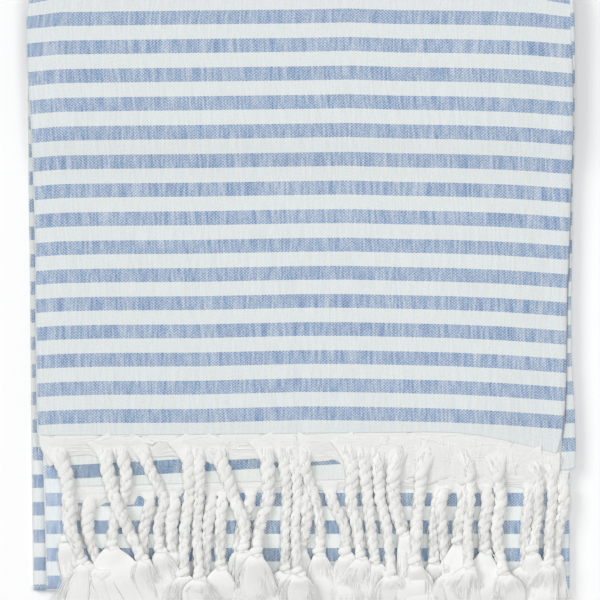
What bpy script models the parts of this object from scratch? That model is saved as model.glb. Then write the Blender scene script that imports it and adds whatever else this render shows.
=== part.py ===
"""Hammam towel, about 50 x 90 cm, folded.

One plain-woven cotton cloth is doubled lengthwise, its long fold on the right (+X) and its two
selvedges on the left, and then folded in thirds like a letter. The near third lies on top with its
fringed end towards -Y. The far end is tucked inside, short of the fold at the back.

Along both ends of each half the loose warp ends are twisted into cords, knotted, and left as a
brush tip. Each row of cords is rooted in the unwoven heading, a narrow strip beyond the cloth.

Metres, +Z up. The towel stands on Z = 0, centred on the origin.
"""
import math
from collections import namedtuple

import bmesh
import bpy
import numpy as np

MM = 0.001

# Cloth
SHEET = 1.0                 # thickness of one layer
SPACING = 1.5               # from the middle of one layer to the middle of the next
DOUBLED = SPACING / 2       # each half of the doubled cloth lies this far from its centre line
CLEAR = 0.35                # gap kept between any two pieces

# Levels of the doubled cloth's centre line in the three panels
BASE_Z = SHEET / 2 + DOUBLED
TUCKED_Z = BASE_Z + 2 * SPACING
TOP_Z = TUCKED_Z + 2 * SPACING
TOP_OVER_FRINGE_Z = 11.2    # the top panel where the tucked fringe lies under it
RISE_START_Y = 50.0
RISE_END_Y = 80.0

# The two folds across the towel
BACK_FOLD_Y = 139.2
BACK_FOLD_RADIUS = (TOP_OVER_FRINGE_Z - BASE_Z) / 2
FRONT_FOLD_Y = -135.25
FRONT_FOLD_RADIUS = (TUCKED_Z - BASE_Z) / 2

# Where the tucked end of the cloth lies
TUCKED_END_OUTER_Y = 74.0
TUCKED_END_INNER_Y = 71.0
TUCKED_TIPS_Y = 138.0

# Grid of the cloth: steps across each half, round the long fold, and along each panel and fold
HALF_STEPS = 13
LONG_FOLD_STEPS = 4
PANEL_STEPS = {"top": 17, "back_fold": 6, "base": 13, "front_fold": 5, "tucked": 11}

# Edges of the folded cloth. Place runs 0-1 along the top panel from its fringed end, 1-2 round the
# back fold, 2-3 along the base, 3-4 round the front fold and 4-5 along the tucked panel.
Edge = namedtuple("Edge", "place outer_left inner_left right")
EDGES = (
    Edge(0.00, -121.0, -109.0, 126.5),
    Edge(0.24, -122.0, -111.5, 126.5),
    Edge(0.58, -123.0, -115.0, 126.5),
    Edge(0.87, -126.5, -118.0, 126.5),
    Edge(0.95, -127.0, -119.0, 126.5),
    Edge(1.00, -125.5, -120.0, 126.0),
    Edge(1.50, -123.5, -120.0, 124.5),
    Edge(2.00, -123.5, -121.0, 125.0),
    Edge(2.50, -125.5, -120.0, 125.0),
    Edge(2.77, -124.0, -117.5, 125.0),
    Edge(3.00, -123.0, -116.5, 125.0),
    Edge(3.50, -121.0, -116.5, 125.0),
    Edge(4.00, -117.0, -116.0, 125.0),
    Edge(4.27, -119.0, -117.0, 125.0),
    Edge(5.00, -120.0, -117.5, 124.5),
)

# End line of the cloth in the top panel, across the outer half and back across the inner one
EndLine = namedtuple("EndLine", "x y")
OUTER_END = (EndLine(-122.0, -66.0), EndLine(60.0, -66.0), EndLine(93.0, -69.5), EndLine(115.0, -73.0),
             EndLine(127.0, -81.0))
INNER_END = (EndLine(-110.0, -89.5), EndLine(46.0, -85.5), EndLine(123.0, -83.5), EndLine(127.0, -81.0))

# Low swells in the top panel: where each is highest, how far it reaches and how high it stands
Swell = namedtuple("Swell", "x y reach_x reach_y height")
SWELLS = (
    Swell(-78.0, 20.0, 34.0, 80.0, 0.5),
    Swell(4.0, -30.0, 22.0, 60.0, 0.6),
    Swell(62.0, 60.0, 40.0, 50.0, 0.5),
    Swell(88.0, -48.0, 26.0, 24.0, 0.5),
)

# Heading strip of the fringe
STRIP_GAP = 0.4             # parted from the cloth's edge
STRIP_DEPTH = 4.4
STRIP_THICK = 1.0

# One strand from root to tip. Each column but the last is a place across the towel, in mm.
Strand = namedtuple("Strand", "root shoulder middle lower knot knot_y tip brush")
SHOULDER_Y = -84.0
MIDDLE_Y = -95.5
LOWER_Y = -107.0
TIP_Y = -145.4
UPPER_STRANDS = (
    Strand(-115.0, -108.5, -106.5, -105.5, -99.0, -126.0, -94.0, 9.0),
    Strand(-90.5, -88.5, -85.5, -81.0, -73.0, -122.0, -69.0, 10.0),
    Strand(-84.0, -81.5, -82.5, -86.5, -87.5, -118.5, -90.5, 10.0),
    Strand(-75.0, -68.0, -63.0, -65.5, -64.5, -118.5, -62.0, 10.0),
    Strand(-53.0, -52.0, -52.0, -52.0, -53.0, -129.5, -55.0, 9.0),
    Strand(-47.5, -47.0, -47.0, -46.5, -45.5, -131.0, -44.0, 9.0),
    Strand(-40.5, -34.0, -30.5, -27.0, -27.0, -122.0, -28.5, 9.0),
    Strand(-17.5, -15.0, -15.5, -18.0, -20.0, -117.5, -17.0, 8.0),
    Strand(-8.5, -6.5, -6.0, -6.5, -6.5, -128.0, -8.0, 8.0),
    Strand(-4.0, -1.5, -1.0, -2.0, -0.5, -129.0, 1.0, 8.0),
    Strand(1.0, 3.5, 7.5, 9.5, 8.5, -119.5, 12.0, 11.0),
    Strand(22.0, 24.5, 23.5, 26.0, 28.0, -122.0, 25.5, 10.0),
    Strand(29.0, 30.5, 31.0, 33.0, 34.0, -124.0, 35.5, 10.0),
    Strand(35.5, 36.5, 37.5, 40.5, 42.5, -129.5, 43.0, 8.0),
    Strand(47.0, 43.5, 43.5, 47.0, 49.5, -110.0, 51.0, 11.0),
    Strand(59.5, 56.5, 55.5, 54.5, 55.5, -124.0, 56.5, 10.0),
    Strand(75.0, 79.0, 79.0, 78.0, 76.5, -126.0, 75.5, 10.0),
    Strand(90.0, 91.5, 91.5, 90.5, 92.5, -128.5, 94.5, 9.0),
    Strand(109.5, 111.0, 110.5, 110.0, 108.0, -118.5, 107.0, 10.0),
    Strand(115.5, 116.5, 117.5, 116.0, 114.5, -125.0, 115.0, 9.0),
)
LOWER_STRANDS = (
    Strand(-107.0, -107.0, -106.0, -106.0, -108.5, -114.0, -111.0, 9.0),
    Strand(-94.0, -94.0, -95.5, -98.5, -99.0, -119.5, -100.5, 9.0),
    Strand(-70.0, -70.0, -69.5, -72.0, -78.0, -123.0, -79.5, 12.0),
    Strand(-59.0, -59.0, -58.5, -60.0, -59.0, -118.5, -58.0, 11.0),
    Strand(-41.0, -41.0, -41.0, -43.0, -44.0, -130.5, -42.5, 9.0),
    Strand(-37.0, -37.0, -37.0, -37.0, -36.5, -126.0, -36.0, 9.0),
    Strand(-23.0, -23.0, -23.5, -27.5, -30.5, -121.0, -33.0, 10.0),
    Strand(3.5, 3.5, 3.5, 3.0, 1.0, -117.5, 0.0, 9.0),
    Strand(14.0, 14.0, 15.0, 20.5, 18.0, -122.0, 15.0, 11.0),
    Strand(65.5, 65.5, 64.0, 62.5, 61.0, -124.0, 59.5, 9.0),
    Strand(69.0, 69.0, 67.0, 67.0, 68.5, -128.5, 69.5, 9.0),
    Strand(74.0, 74.0, 75.0, 72.5, 74.0, -114.5, 78.0, 9.0),
    Strand(86.0, 86.0, 87.0, 85.0, 83.0, -123.0, 81.0, 10.0),
    Strand(106.5, 106.5, 106.5, 105.0, 105.5, -126.0, 103.0, 11.0),
    Strand(120.0, 120.0, 120.5, 119.5, 119.0, -125.0, 122.0, 9.0),
)
TUCKED_STRANDS = 15         # in each of the two tucked rows, evenly spaced
TUCKED_BRUSH = 7.0

# Sections of a strand from its root: half its width and its height
Section = namedtuple("Section", "half_width height")
ROOT = Section(1.3, 1.5)
FLAT_ROOT = Section(1.3, 1.2)  # where another heading lies close above
CORD = Section(1.95, 2.6)
KNOT = Section(2.5, 3.2)
NECK = Section(1.7, 2.2)
BRUSH_HEIGHT = 1.7
TIP_HEIGHT = 1.0
PRESSED = 0.9               # the tucked strands are pressed flatter by this share
KNOT_HALF_LENGTH = 3.0
LAY_CLEAR = 0.45            # gap under a strand where it passes over another
LAY_STEP = 1.0              # steps of the lay of a strand over what is under it
LAY_REACH = 2.0             # a strand is lifted this far before and after what it passes over
LAY_SLOPE = 0.45            # and climbs no steeper than this
DROOP = 2.6                 # fall of the brush tips past the front fold

BLUE_WHITE = (0.60, 0.69, 0.80, 1.0)
COTTON_WHITE = (0.86, 0.87, 0.86, 1.0)


def smooth_step(value, start, end):
    """Rise smoothly from 0 at start to 1 at end."""
    share = min(1.0, max(0.0, (value - start) / (end - start)))
    return share * share * (3.0 - 2.0 * share)


def look_up(rows, column, place):
    """Read one column of a table at a place between its rows."""
    return float(np.interp(place, [row[0] for row in rows], [getattr(row, column) for row in rows]))


def swell_at(x, y):
    """Height of the low swells of the top panel, fading before its edges and fold."""
    total = 0.0
    for swell in SWELLS:
        across = (x - swell.x) / swell.reach_x
        along = (y - swell.y) / swell.reach_y
        total += swell.height * math.exp(-across * across - along * along)
    return total * (1.0 - smooth_step(y, 100.0, 130.0))


def top_level(y):
    """Level of the top panel's centre line, which rises over the tucked fringe."""
    return TOP_Z + (TOP_OVER_FRINGE_Z - TOP_Z) * smooth_step(y, RISE_START_Y, RISE_END_Y)


def stations():
    """List (panel, share of its length) for every row of the cloth's grid."""
    rows = [("top", 0.0)]
    for panel, steps in PANEL_STEPS.items():
        rows += [(panel, step / steps) for step in range(1, steps + 1)]
    return rows


def columns():
    """List (half, share of its width, turn round the long fold) for every column."""
    rows = [("outer", step / HALF_STEPS, 0.0) for step in range(HALF_STEPS + 1)]
    rows += [("turn", 1.0, math.pi * step / LONG_FOLD_STEPS) for step in range(1, LONG_FOLD_STEPS)]
    rows += [("inner", 1.0 - step / HALF_STEPS, math.pi) for step in range(HALF_STEPS + 1)]
    return rows


def across(column, place):
    """Return the X and the offset from the centre line of a column at a place along the towel."""
    half, share, turn = column
    right = look_up(EDGES, "right", place) - DOUBLED
    left = look_up(EDGES, "inner_left" if half == "inner" else "outer_left", place)
    if half == "turn":
        return right + DOUBLED * math.sin(turn), DOUBLED * math.cos(turn)
    return left + (right - left) * share, DOUBLED if half == "outer" else -DOUBLED


def end_line(half, x):
    """Y of the cloth's visible end at x on one half."""
    rows = INNER_END if half == "inner" else OUTER_END
    return look_up(rows, "y", x)


def cloth_point(station, column):
    """Place one point of the cloth's middle surface, in mm."""
    panel, share = station
    half = column[0]
    if panel == "top":
        x, offset = across(column, share)
        start = end_line(half, x)
        y = start + (BACK_FOLD_Y - start) * share
        x, offset = across(column, (y + 90.0) / (BACK_FOLD_Y + 90.0))
        return x, y, top_level(y) + offset + swell_at(x, y)
    if panel == "back_fold":
        x, offset = across(column, 1.0 + share)
        angle = math.pi * (0.5 - share)
        radius = BACK_FOLD_RADIUS + offset
        return x, BACK_FOLD_Y + radius * math.cos(angle), BASE_Z + BACK_FOLD_RADIUS + radius * math.sin(angle)
    if panel == "base":
        x, offset = across(column, 2.0 + share)
        return x, BACK_FOLD_Y + (FRONT_FOLD_Y - BACK_FOLD_Y) * share, BASE_Z - offset
    if panel == "front_fold":
        x, offset = across(column, 3.0 + share)
        angle = math.pi * (share - 0.5)
        radius = FRONT_FOLD_RADIUS + offset
        return x, FRONT_FOLD_Y - radius * math.cos(angle), BASE_Z + FRONT_FOLD_RADIUS + radius * math.sin(angle)
    x, offset = across(column, 4.0 + share)
    end = TUCKED_END_OUTER_Y if half == "outer" else TUCKED_END_INNER_Y
    return x, FRONT_FOLD_Y + (end - FRONT_FOLD_Y) * share, TUCKED_Z + offset


def new_material(name, colour, roughness):
    """Make a plain matt cotton material."""
    material = bpy.data.materials.new(name)
    material.use_nodes = True
    shader = material.node_tree.nodes["Principled BSDF"]
    shader.inputs["Base Color"].default_value = colour
    shader.inputs["Roughness"].default_value = roughness
    shader.inputs["Metallic"].default_value = 0.0
    material.diffuse_color = colour
    return material


def add_object(name, bm, collection, material=None):
    """Turn a bmesh into an object of a collection."""
    bmesh.ops.recalc_face_normals(bm, faces=bm.faces)
    mesh = bpy.data.meshes.new(name)
    bm.to_mesh(mesh)
    bm.free()
    item = bpy.data.objects.new(name, mesh)
    collection.objects.link(item)
    if material is not None:
        mesh.materials.append(material)
    return item


def make_cloth(collection, material):
    """Fold a flat grid into the doubled, letter-folded towel and give it its thickness."""
    rows = stations()
    across_rows = columns()
    bm = bmesh.new()
    bmesh.ops.create_grid(bm, x_segments=len(across_rows) - 1, y_segments=len(rows) - 1, size=1.0)
    for vert in bm.verts:
        column = round((vert.co.x + 1.0) / 2.0 * (len(across_rows) - 1))
        row = round((vert.co.y + 1.0) / 2.0 * (len(rows) - 1))
        vert.co = [value * MM for value in cloth_point(rows[row], across_rows[column])]
    cloth = add_object("towel_cloth", bm, collection, material)
    cloth.data.shade_smooth()
    wall = cloth.modifiers.new("thickness", "SOLIDIFY")
    wall.thickness = SHEET * MM
    wall.offset = 0.0
    return cloth


def cloth_end(half, station, left, right):
    """List the points of the cloth's end line on one half between two places across."""
    points = [cloth_point(station, column) for column in columns() if column[0] == half]
    points.sort()
    xs, ys, zs = (np.array(values) for values in zip(*points))
    inside = [x for x in xs if left + 2.0 < x < right - 2.0]
    stops = [left] + inside + [right]
    return [(x, float(np.interp(x, xs, ys)), float(np.interp(x, xs, zs))) for x in stops]


def make_strip(name, line, outwards, collection):
    """Make the heading strip that follows the cloth's end line at a small gap."""
    bm = bmesh.new()
    bmesh.ops.create_grid(bm, x_segments=len(line) - 1, y_segments=1, size=1.0)
    for vert in bm.verts:
        x, y, z = line[round((vert.co.x + 1.0) / 2.0 * (len(line) - 1))]
        depth = STRIP_GAP if vert.co.y > 0 else STRIP_GAP + STRIP_DEPTH
        vert.co = (x * MM, (y + outwards * depth) * MM, z * MM)
    solid = bmesh.ops.extrude_face_region(bm, geom=bm.faces[:])
    lifted = [item for item in solid["geom"] if isinstance(item, bmesh.types.BMVert)]
    bmesh.ops.translate(bm, verts=lifted, vec=(0.0, 0.0, STRIP_THICK / 2 * MM))
    kept = [vert for vert in bm.verts if vert not in set(lifted)]
    bmesh.ops.translate(bm, verts=kept, vec=(0.0, 0.0, -STRIP_THICK / 2 * MM))
    return add_object(name, bm, collection)


def smooth_path(knots_y, knots_x, y):
    """Read a smooth curve through a strand's places at y (Catmull-Rom, y falling)."""
    index = 0
    while index < len(knots_y) - 2 and y < knots_y[index + 1]:
        index += 1
    span = knots_y[index + 1] - knots_y[index]
    share = min(1.0, max(0.0, (y - knots_y[index]) / span))
    before = max(index - 1, 0)
    after = min(index + 2, len(knots_y) - 1)
    slope_in = (knots_x[index + 1] - knots_x[before]) / (knots_y[index + 1] - knots_y[before])
    slope_out = (knots_x[after] - knots_x[index]) / (knots_y[after] - knots_y[index])
    square = share * share
    cube = square * share
    return (knots_x[index] * (2 * cube - 3 * square + 1) + slope_in * span * (cube - 2 * square + share)
            + knots_x[index + 1] * (3 * square - 2 * cube) + slope_out * span * (cube - square))


def strand_rings(strand, root_y):
    """List (y, x, half width, height) of a visible strand's sections, root first."""
    places_y = [root_y, SHOULDER_Y, MIDDLE_Y, LOWER_Y, strand.knot_y, TIP_Y]
    places_x = [strand.root, strand.shoulder, strand.middle, strand.lower, strand.knot, strand.tip]
    if root_y <= SHOULDER_Y + 1.0:
        places_y.pop(1)
        places_x.pop(1)
    if strand.knot_y > LOWER_Y - 6.0:
        lower = places_y.index(LOWER_Y)
        places_y.pop(lower)
        places_x.pop(lower)
    knot_top = strand.knot_y + KNOT_HALF_LENGTH
    knot_end = strand.knot_y - KNOT_HALF_LENGTH
    cord_top = root_y - STRIP_DEPTH
    brush = strand.brush / 2
    rings = [(root_y, ROOT)]
    cord_steps = max(3, round((cord_top - knot_top) / 9.0))
    for step in range(cord_steps + 1):
        rings.append((cord_top + (knot_top - cord_top) * step / cord_steps, CORD))
    rings.append((strand.knot_y, KNOT))
    rings.append((knot_end, NECK))
    rings.append((knot_end + (TIP_Y - knot_end) * 0.4, Section(brush * 0.8, BRUSH_HEIGHT)))
    rings.append((knot_end + (TIP_Y - knot_end) * 0.8, Section(brush, BRUSH_HEIGHT)))
    rings.append((TIP_Y, Section(brush * 0.8, TIP_HEIGHT)))
    return [(y, smooth_path(places_y, places_x, y), part.half_width, part.height) for y, part in rings]


def tucked_rings(x, root_y):
    """List the sections of a strand in a tucked row, which runs straight towards the back fold."""
    reach = TUCKED_TIPS_Y - root_y
    brush = TUCKED_BRUSH / 2
    parts = ((0.0, FLAT_ROOT), (0.10, FLAT_ROOT), (0.16, CORD), (0.40, CORD), (0.62, CORD), (0.68, KNOT),
             (0.74, NECK), (0.88, Section(brush, BRUSH_HEIGHT)), (1.0, Section(brush * 0.8, TIP_HEIGHT)))
    return [(root_y + reach * share, x, part.half_width, part.height * PRESSED) for share, part in parts]


def narrow_brushes(rows):
    """Keep the brushes of neighbouring strands in one row apart."""
    order = sorted(range(len(rows)), key=lambda index: rows[index][-1][1])
    for left, right in zip(order, order[1:]):
        for one in range(len(rows[left])):
            y, x, half, height = rows[left][one]
            others = rows[right]
            near_x = float(np.interp(-y, [-ring[0] for ring in others], [ring[1] for ring in others]))
            near_half = float(np.interp(-y, [-ring[0] for ring in others], [ring[2] for ring in others]))
            room = abs(near_x - x) - CLEAR
            if half > CORD.half_width + 0.01 and half + near_half > room:
                rows[left][one] = (y, x, max(CORD.half_width, room * half / (half + near_half)), height)
        for one in range(len(rows[right])):
            y, x, half, height = rows[right][one]
            others = rows[left]
            near_x = float(np.interp(-y, [-ring[0] for ring in others], [ring[1] for ring in others]))
            near_half = float(np.interp(-y, [-ring[0] for ring in others], [ring[2] for ring in others]))
            room = abs(x - near_x) - CLEAR
            if half > CORD.half_width + 0.01 and half + near_half > room:
                rows[right][one] = (y, x, max(CORD.half_width, room - near_half), height)
    return rows


class Lay:
    """Lays strands one after another on the cloth and on the strands already there."""

    def __init__(self, start, end):
        count = int(abs(end - start) / LAY_STEP) + 1
        self.ys = np.linspace(start, end, count)
        self.laid = []

    def profile(self, rings):
        """Read a strand's x, half width and height at every step of the lay."""
        flip = 1.0 if rings[-1][0] > rings[0][0] else -1.0
        at = [flip * ring[0] for ring in rings]
        read = [np.interp(flip * self.ys, at, [ring[part] for ring in rings]) for part in (1, 2, 3)]
        inside = (flip * self.ys >= at[0] - LAY_STEP) & (flip * self.ys <= at[-1] + LAY_STEP)
        return read[0], read[1], read[2], inside

    def put(self, rings, ground, root_level):
        """Settle one strand and return (x, y, z of its underside, half width, height) rings."""
        xs, halves, heights, inside = self.profile(rings)
        floor = np.array([ground(x, y) for x, y in zip(xs, self.ys)]) + CLEAR
        for other_x, other_half, other_top, other_inside in self.laid:
            near = (np.abs(xs - other_x) < halves + other_half + CLEAR) & other_inside & inside
            near[:-1] |= near[1:]
            near[1:] |= near[:-1]
            floor = np.where(near, np.maximum(floor, other_top + LAY_CLEAR), floor)
        steps = int(LAY_REACH / LAY_STEP)
        spread = floor.copy()
        for shift in range(1, steps + 1):
            spread[shift:] = np.maximum(spread[shift:], floor[:-shift])
            spread[:-shift] = np.maximum(spread[:-shift], floor[shift:])
        eased = spread.copy()
        for shift in range(1, len(spread)):
            drop = LAY_SLOPE * LAY_STEP * shift
            eased[shift:] = np.maximum(eased[shift:], spread[:-shift] - drop)
            eased[:-shift] = np.maximum(eased[:-shift], spread[shift:] - drop)
        flip = 1.0 if rings[-1][0] > rings[0][0] else -1.0
        at = np.array([flip * ring[0] for ring in rings])
        order = np.argsort(flip * self.ys)
        levels = np.interp(at, flip * self.ys[order], eased[order])
        levels[0] = root_level
        for _ in range(2):
            low = np.interp(flip * self.ys, at, levels)
            for index in range(1, len(rings) - 1):
                span = (flip * self.ys >= at[index]) & (flip * self.ys <= at[index + 1])
                short = float(np.max(np.where(span, floor - low, 0.0)))
                if short > 0.0:
                    levels[index] += short
                    levels[index + 1] += short
        low = np.interp(flip * self.ys, at, levels)
        self.laid.append((xs, halves, low + heights, inside))
        return [(x, y, float(z), half, height) for (y, x, half, height), z in zip(rings, levels)]


def make_strand(name, rings, collection):
    """Loft a four-sided strand through unlike sections: root, cord, knot, neck and brush."""
    bm = bmesh.new()
    loops = []
    for x, y, z, half, height in rings:
        corners = ((x - half, z), (x + half, z), (x + half * 0.7, z + height), (x - half * 0.7, z + height))
        loops.append([bm.verts.new((cx * MM, y * MM, cz * MM)) for cx, cz in corners])
    for first, second in zip(loops, loops[1:]):
        for side in range(4):
            after = (side + 1) % 4
            bm.faces.new((first[side], first[after], second[after], second[side]))
    bm.faces.new(loops[0])
    bm.faces.new(loops[-1])
    return add_object(name, bm, collection)


def make_fringe(name, strip, strands, guides, collection, material):
    """Fuse a row's strands into its heading strip."""
    bm = bmesh.new()
    for strand in strands:
        bm.from_mesh(strand.data)
        guides.objects.unlink(strand)
        bpy.data.objects.remove(strand)
    row = add_object(name + "_strands", bm, guides)
    row.hide_render = True
    row.display_type = "WIRE"
    fringe = strip
    fringe.name = name
    fringe.data.name = name
    fringe.data.materials.append(material)
    join = fringe.modifiers.new("strands", "BOOLEAN")
    join.operation = "UNION"
    join.solver = "EXACT"
    join.object = row
    return fringe


def under_lower(x, y):
    """Upper face of the tucked panel, which the lower row lies on; its tips droop past the fold."""
    return TUCKED_Z + DOUBLED + SHEET / 2 - DROOP * smooth_step(-y, -FRONT_FOLD_Y, -TIP_Y + 4.0)


def under_upper(x, y):
    """The upper row first crosses the top panel's inner half and the lower row's heading."""
    below_end = end_line("inner", x) - STRIP_GAP - STRIP_DEPTH
    step = smooth_step(y, below_end - 3.0, below_end - 0.5)
    under_top = TOP_Z - DOUBLED + SHEET / 2 + swell_at(x, y)
    return under_lower(x, y) + (under_top - under_lower(x, y)) * step


def under_tucked_lower(x, y):
    """Upper face of the base panel, which the lower tucked row lies on."""
    return BASE_Z + DOUBLED + SHEET / 2


def under_tucked_upper(x, y):
    """The upper tucked row first crosses the lower row's heading."""
    heading_end = TUCKED_END_INNER_Y + STRIP_GAP + STRIP_DEPTH
    heading = TUCKED_Z - DOUBLED + STRIP_THICK / 2
    step = 1.0 - smooth_step(y, heading_end + 0.5, heading_end + 3.0)
    return under_tucked_lower(x, y) + (heading - under_tucked_lower(x, y)) * step


def make_visible_fringes(collection, guides, material):
    """Make the two rows at the near end: the lower first, and the upper laid over it."""
    lay = Lay(-60.0, TIP_Y - 1.0)
    jobs = (
        ("fringe_lower", "inner", LOWER_STRANDS, under_lower, -109.0, 124.0),
        ("fringe_upper", "outer", UPPER_STRANDS, under_upper, -119.5, 120.0),
    )
    for name, half, table, ground, left, right in jobs:
        line = cloth_end(half, ("top", 0.0), left, right)
        strip = make_strip(name, line, -1.0, collection)
        rows = []
        levels = []
        for strand in table:
            place = [float(np.interp(strand.root, [point[0] for point in line], [point[part] for point in line]))
                     for part in (1, 2)]
            rows.append(strand_rings(strand, place[0] - STRIP_GAP - STRIP_DEPTH / 2))
            levels.append(place[1])
        strands = []
        for number, rings in enumerate(narrow_brushes(rows)):
            laid = lay.put(rings, ground, levels[number] - 0.4)
            strands.append(make_strand(f"{name}_{number}", laid, guides))
        make_fringe(name, strip, strands, guides, collection, material)


def make_tucked_fringes(collection, guides, material):
    """Make the two rows at the far end, inside the fold, the lower first."""
    lay = Lay(60.0, TUCKED_TIPS_Y + 1.0)
    jobs = (
        ("fringe_inner_lower", "inner", TUCKED_END_INNER_Y, under_tucked_lower, TUCKED_Z - DOUBLED, -0.55),
        ("fringe_inner_upper", "outer", TUCKED_END_OUTER_Y, under_tucked_upper, TUCKED_Z + DOUBLED, -0.4),
    )
    for name, half, end_y, ground, level, drop in jobs:
        line = cloth_end(half, ("tucked", 1.0), -115.0, 118.0)
        strip = make_strip(name, line, 1.0, collection)
        strands = []
        for number in range(TUCKED_STRANDS):
            x = -109.0 + 221.0 * number / (TUCKED_STRANDS - 1)
            rings = tucked_rings(x, end_y + STRIP_GAP + STRIP_DEPTH / 2)
            laid = lay.put(rings, ground, level + drop)
            strands.append(make_strand(f"{name}_{number}", laid, guides))
        make_fringe(name, strip, strands, guides, collection, material)


def main():
    """Build the towel in an empty scene."""
    for item in list(bpy.data.objects):
        bpy.data.objects.remove(item)
    parts = bpy.data.collections.new("hammam_towel")
    guides = bpy.data.collections.new("guides")
    for collection in (parts, guides):
        bpy.context.scene.collection.children.link(collection)
    woven = new_material("woven_cotton", BLUE_WHITE, 0.9)
    twisted = new_material("twisted_cotton", COTTON_WHITE, 0.9)
    make_cloth(parts, woven)
    make_visible_fringes(parts, guides, twisted)
    make_tucked_fringes(parts, guides, twisted)


main()
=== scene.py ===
import logging
import math
from dataclasses import dataclass, field
from enum import Enum
from typing import Any, Callable, NamedTuple, Sequence

import bpy
import numpy as np
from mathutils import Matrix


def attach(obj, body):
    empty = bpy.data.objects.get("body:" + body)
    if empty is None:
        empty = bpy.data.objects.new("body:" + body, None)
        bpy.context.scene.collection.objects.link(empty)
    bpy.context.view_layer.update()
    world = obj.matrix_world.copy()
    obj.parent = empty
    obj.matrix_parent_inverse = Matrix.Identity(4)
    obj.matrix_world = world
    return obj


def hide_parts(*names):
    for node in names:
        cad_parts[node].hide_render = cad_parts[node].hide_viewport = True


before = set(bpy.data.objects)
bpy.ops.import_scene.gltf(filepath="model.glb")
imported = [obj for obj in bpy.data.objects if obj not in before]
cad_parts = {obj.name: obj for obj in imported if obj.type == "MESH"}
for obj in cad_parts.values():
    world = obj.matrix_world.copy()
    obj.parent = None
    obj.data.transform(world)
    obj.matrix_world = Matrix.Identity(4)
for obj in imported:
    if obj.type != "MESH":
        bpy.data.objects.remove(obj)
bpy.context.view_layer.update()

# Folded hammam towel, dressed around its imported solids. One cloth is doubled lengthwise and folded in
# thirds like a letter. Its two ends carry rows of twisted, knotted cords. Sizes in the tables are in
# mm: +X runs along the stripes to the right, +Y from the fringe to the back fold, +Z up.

Colour = tuple[float, float, float, float]
Span = tuple[float, float]

MM = 0.001
TINY = 1e-9
FULL_TURN = 6.28
PICKS_A_REPEAT = 20  # picks in one blue and one white stripe

log = logging.getLogger("towel")


# ---------------------------------------------------------------------------------------------
# Small helpers
# ---------------------------------------------------------------------------------------------

def smooth_step(value: Any, start: float, end: float) -> Any:
    """Rise smoothly from 0 at start to 1 at end.

    Args:
        value: a number or an array of numbers.
        start: where the rise begins.
        end: where it is complete.

    Returns:
        The share from 0 to 1, of the shape of value.
    """
    share = np.clip((np.asarray(value, float) - start) / (end - start), 0.0, 1.0)
    return share * share * (3.0 - 2.0 * share)


def ramp(value: Any, start: float, end: float) -> Any:
    """Rise evenly from 0 at start to 1 at end."""
    return np.clip((value - start) / (end - start), 0.0, 1.0)


def read_column(rows: Sequence[Any], place_name: str, name: str, place: Any) -> Any:
    """Read one column of a table between its rows.

    Args:
        rows: the table, ordered by its place column.
        place_name: the column that says where each row stands.
        name: the column that is read.
        place: where it is read, a number or an array.

    Returns:
        The values at those places.
    """
    return np.interp(place, [getattr(row, place_name) for row in rows], [getattr(row, name) for row in rows])


def bell(distance: Any, reach: float) -> Any:
    """Fall from 1 to 0 as a bell curve with a distance."""
    return np.exp(-np.square(np.asarray(distance, float) / reach))


def run_length(path: np.ndarray) -> np.ndarray:
    """Distance from a path's first point to each of its points, for one path or several."""
    steps = np.linalg.norm(np.diff(path, axis=-2), axis=-1)
    return np.concatenate([np.zeros((*steps.shape[:-1], 1)), np.cumsum(steps, axis=-1)], axis=-1)


def value_noise(points: np.ndarray, seed: int) -> np.ndarray:
    """Smooth noise from -1 to 1 on a plane.

    Args:
        points: an array whose last axis holds two coordinates, one cell a unit.
        seed: the pattern's number.

    Returns:
        One value for each point.
    """
    size = 64
    grid = np.random.RandomState(seed).uniform(-1.0, 1.0, (size, size))
    cell = np.floor(points).astype(int)
    part = points - cell
    part = part * part * (3.0 - 2.0 * part)
    x0, y0 = cell[..., 0] % size, cell[..., 1] % size
    x1, y1 = (x0 + 1) % size, (y0 + 1) % size
    low = grid[x0, y0] * (1 - part[..., 0]) + grid[x1, y0] * part[..., 0]
    high = grid[x0, y1] * (1 - part[..., 0]) + grid[x1, y1] * part[..., 0]
    return low * (1 - part[..., 1]) + high * part[..., 1]


def select_only(piece: bpy.types.Object) -> None:
    """Deselect everything, then select one object and make it active.

    Args:
        piece: the object.
    """
    bpy.ops.object.select_all(action="DESELECT")
    piece.select_set(True)
    bpy.context.view_layer.objects.active = piece


def apply_modifier(piece: bpy.types.Object, kind: str, **settings: Any) -> None:
    """Add a modifier with its settings and apply it.

    Args:
        piece: the object.
        kind: the modifier's type.
        **settings: values of its properties.
    """
    select_only(piece)
    modifier = piece.modifiers.new(kind.lower(), kind)
    for name, value in settings.items():
        setattr(modifier, name, value)
    bpy.ops.object.modifier_apply(modifier=modifier.name)


def store_values(mesh: bpy.types.Mesh, name: str, values: np.ndarray) -> None:
    """Store one number for each point of a mesh, for its material to read."""
    mesh.attributes.new(name, "FLOAT", "POINT").data.foreach_set("value", values)


# ---------------------------------------------------------------------------------------------
# Shader maths
# ---------------------------------------------------------------------------------------------

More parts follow.
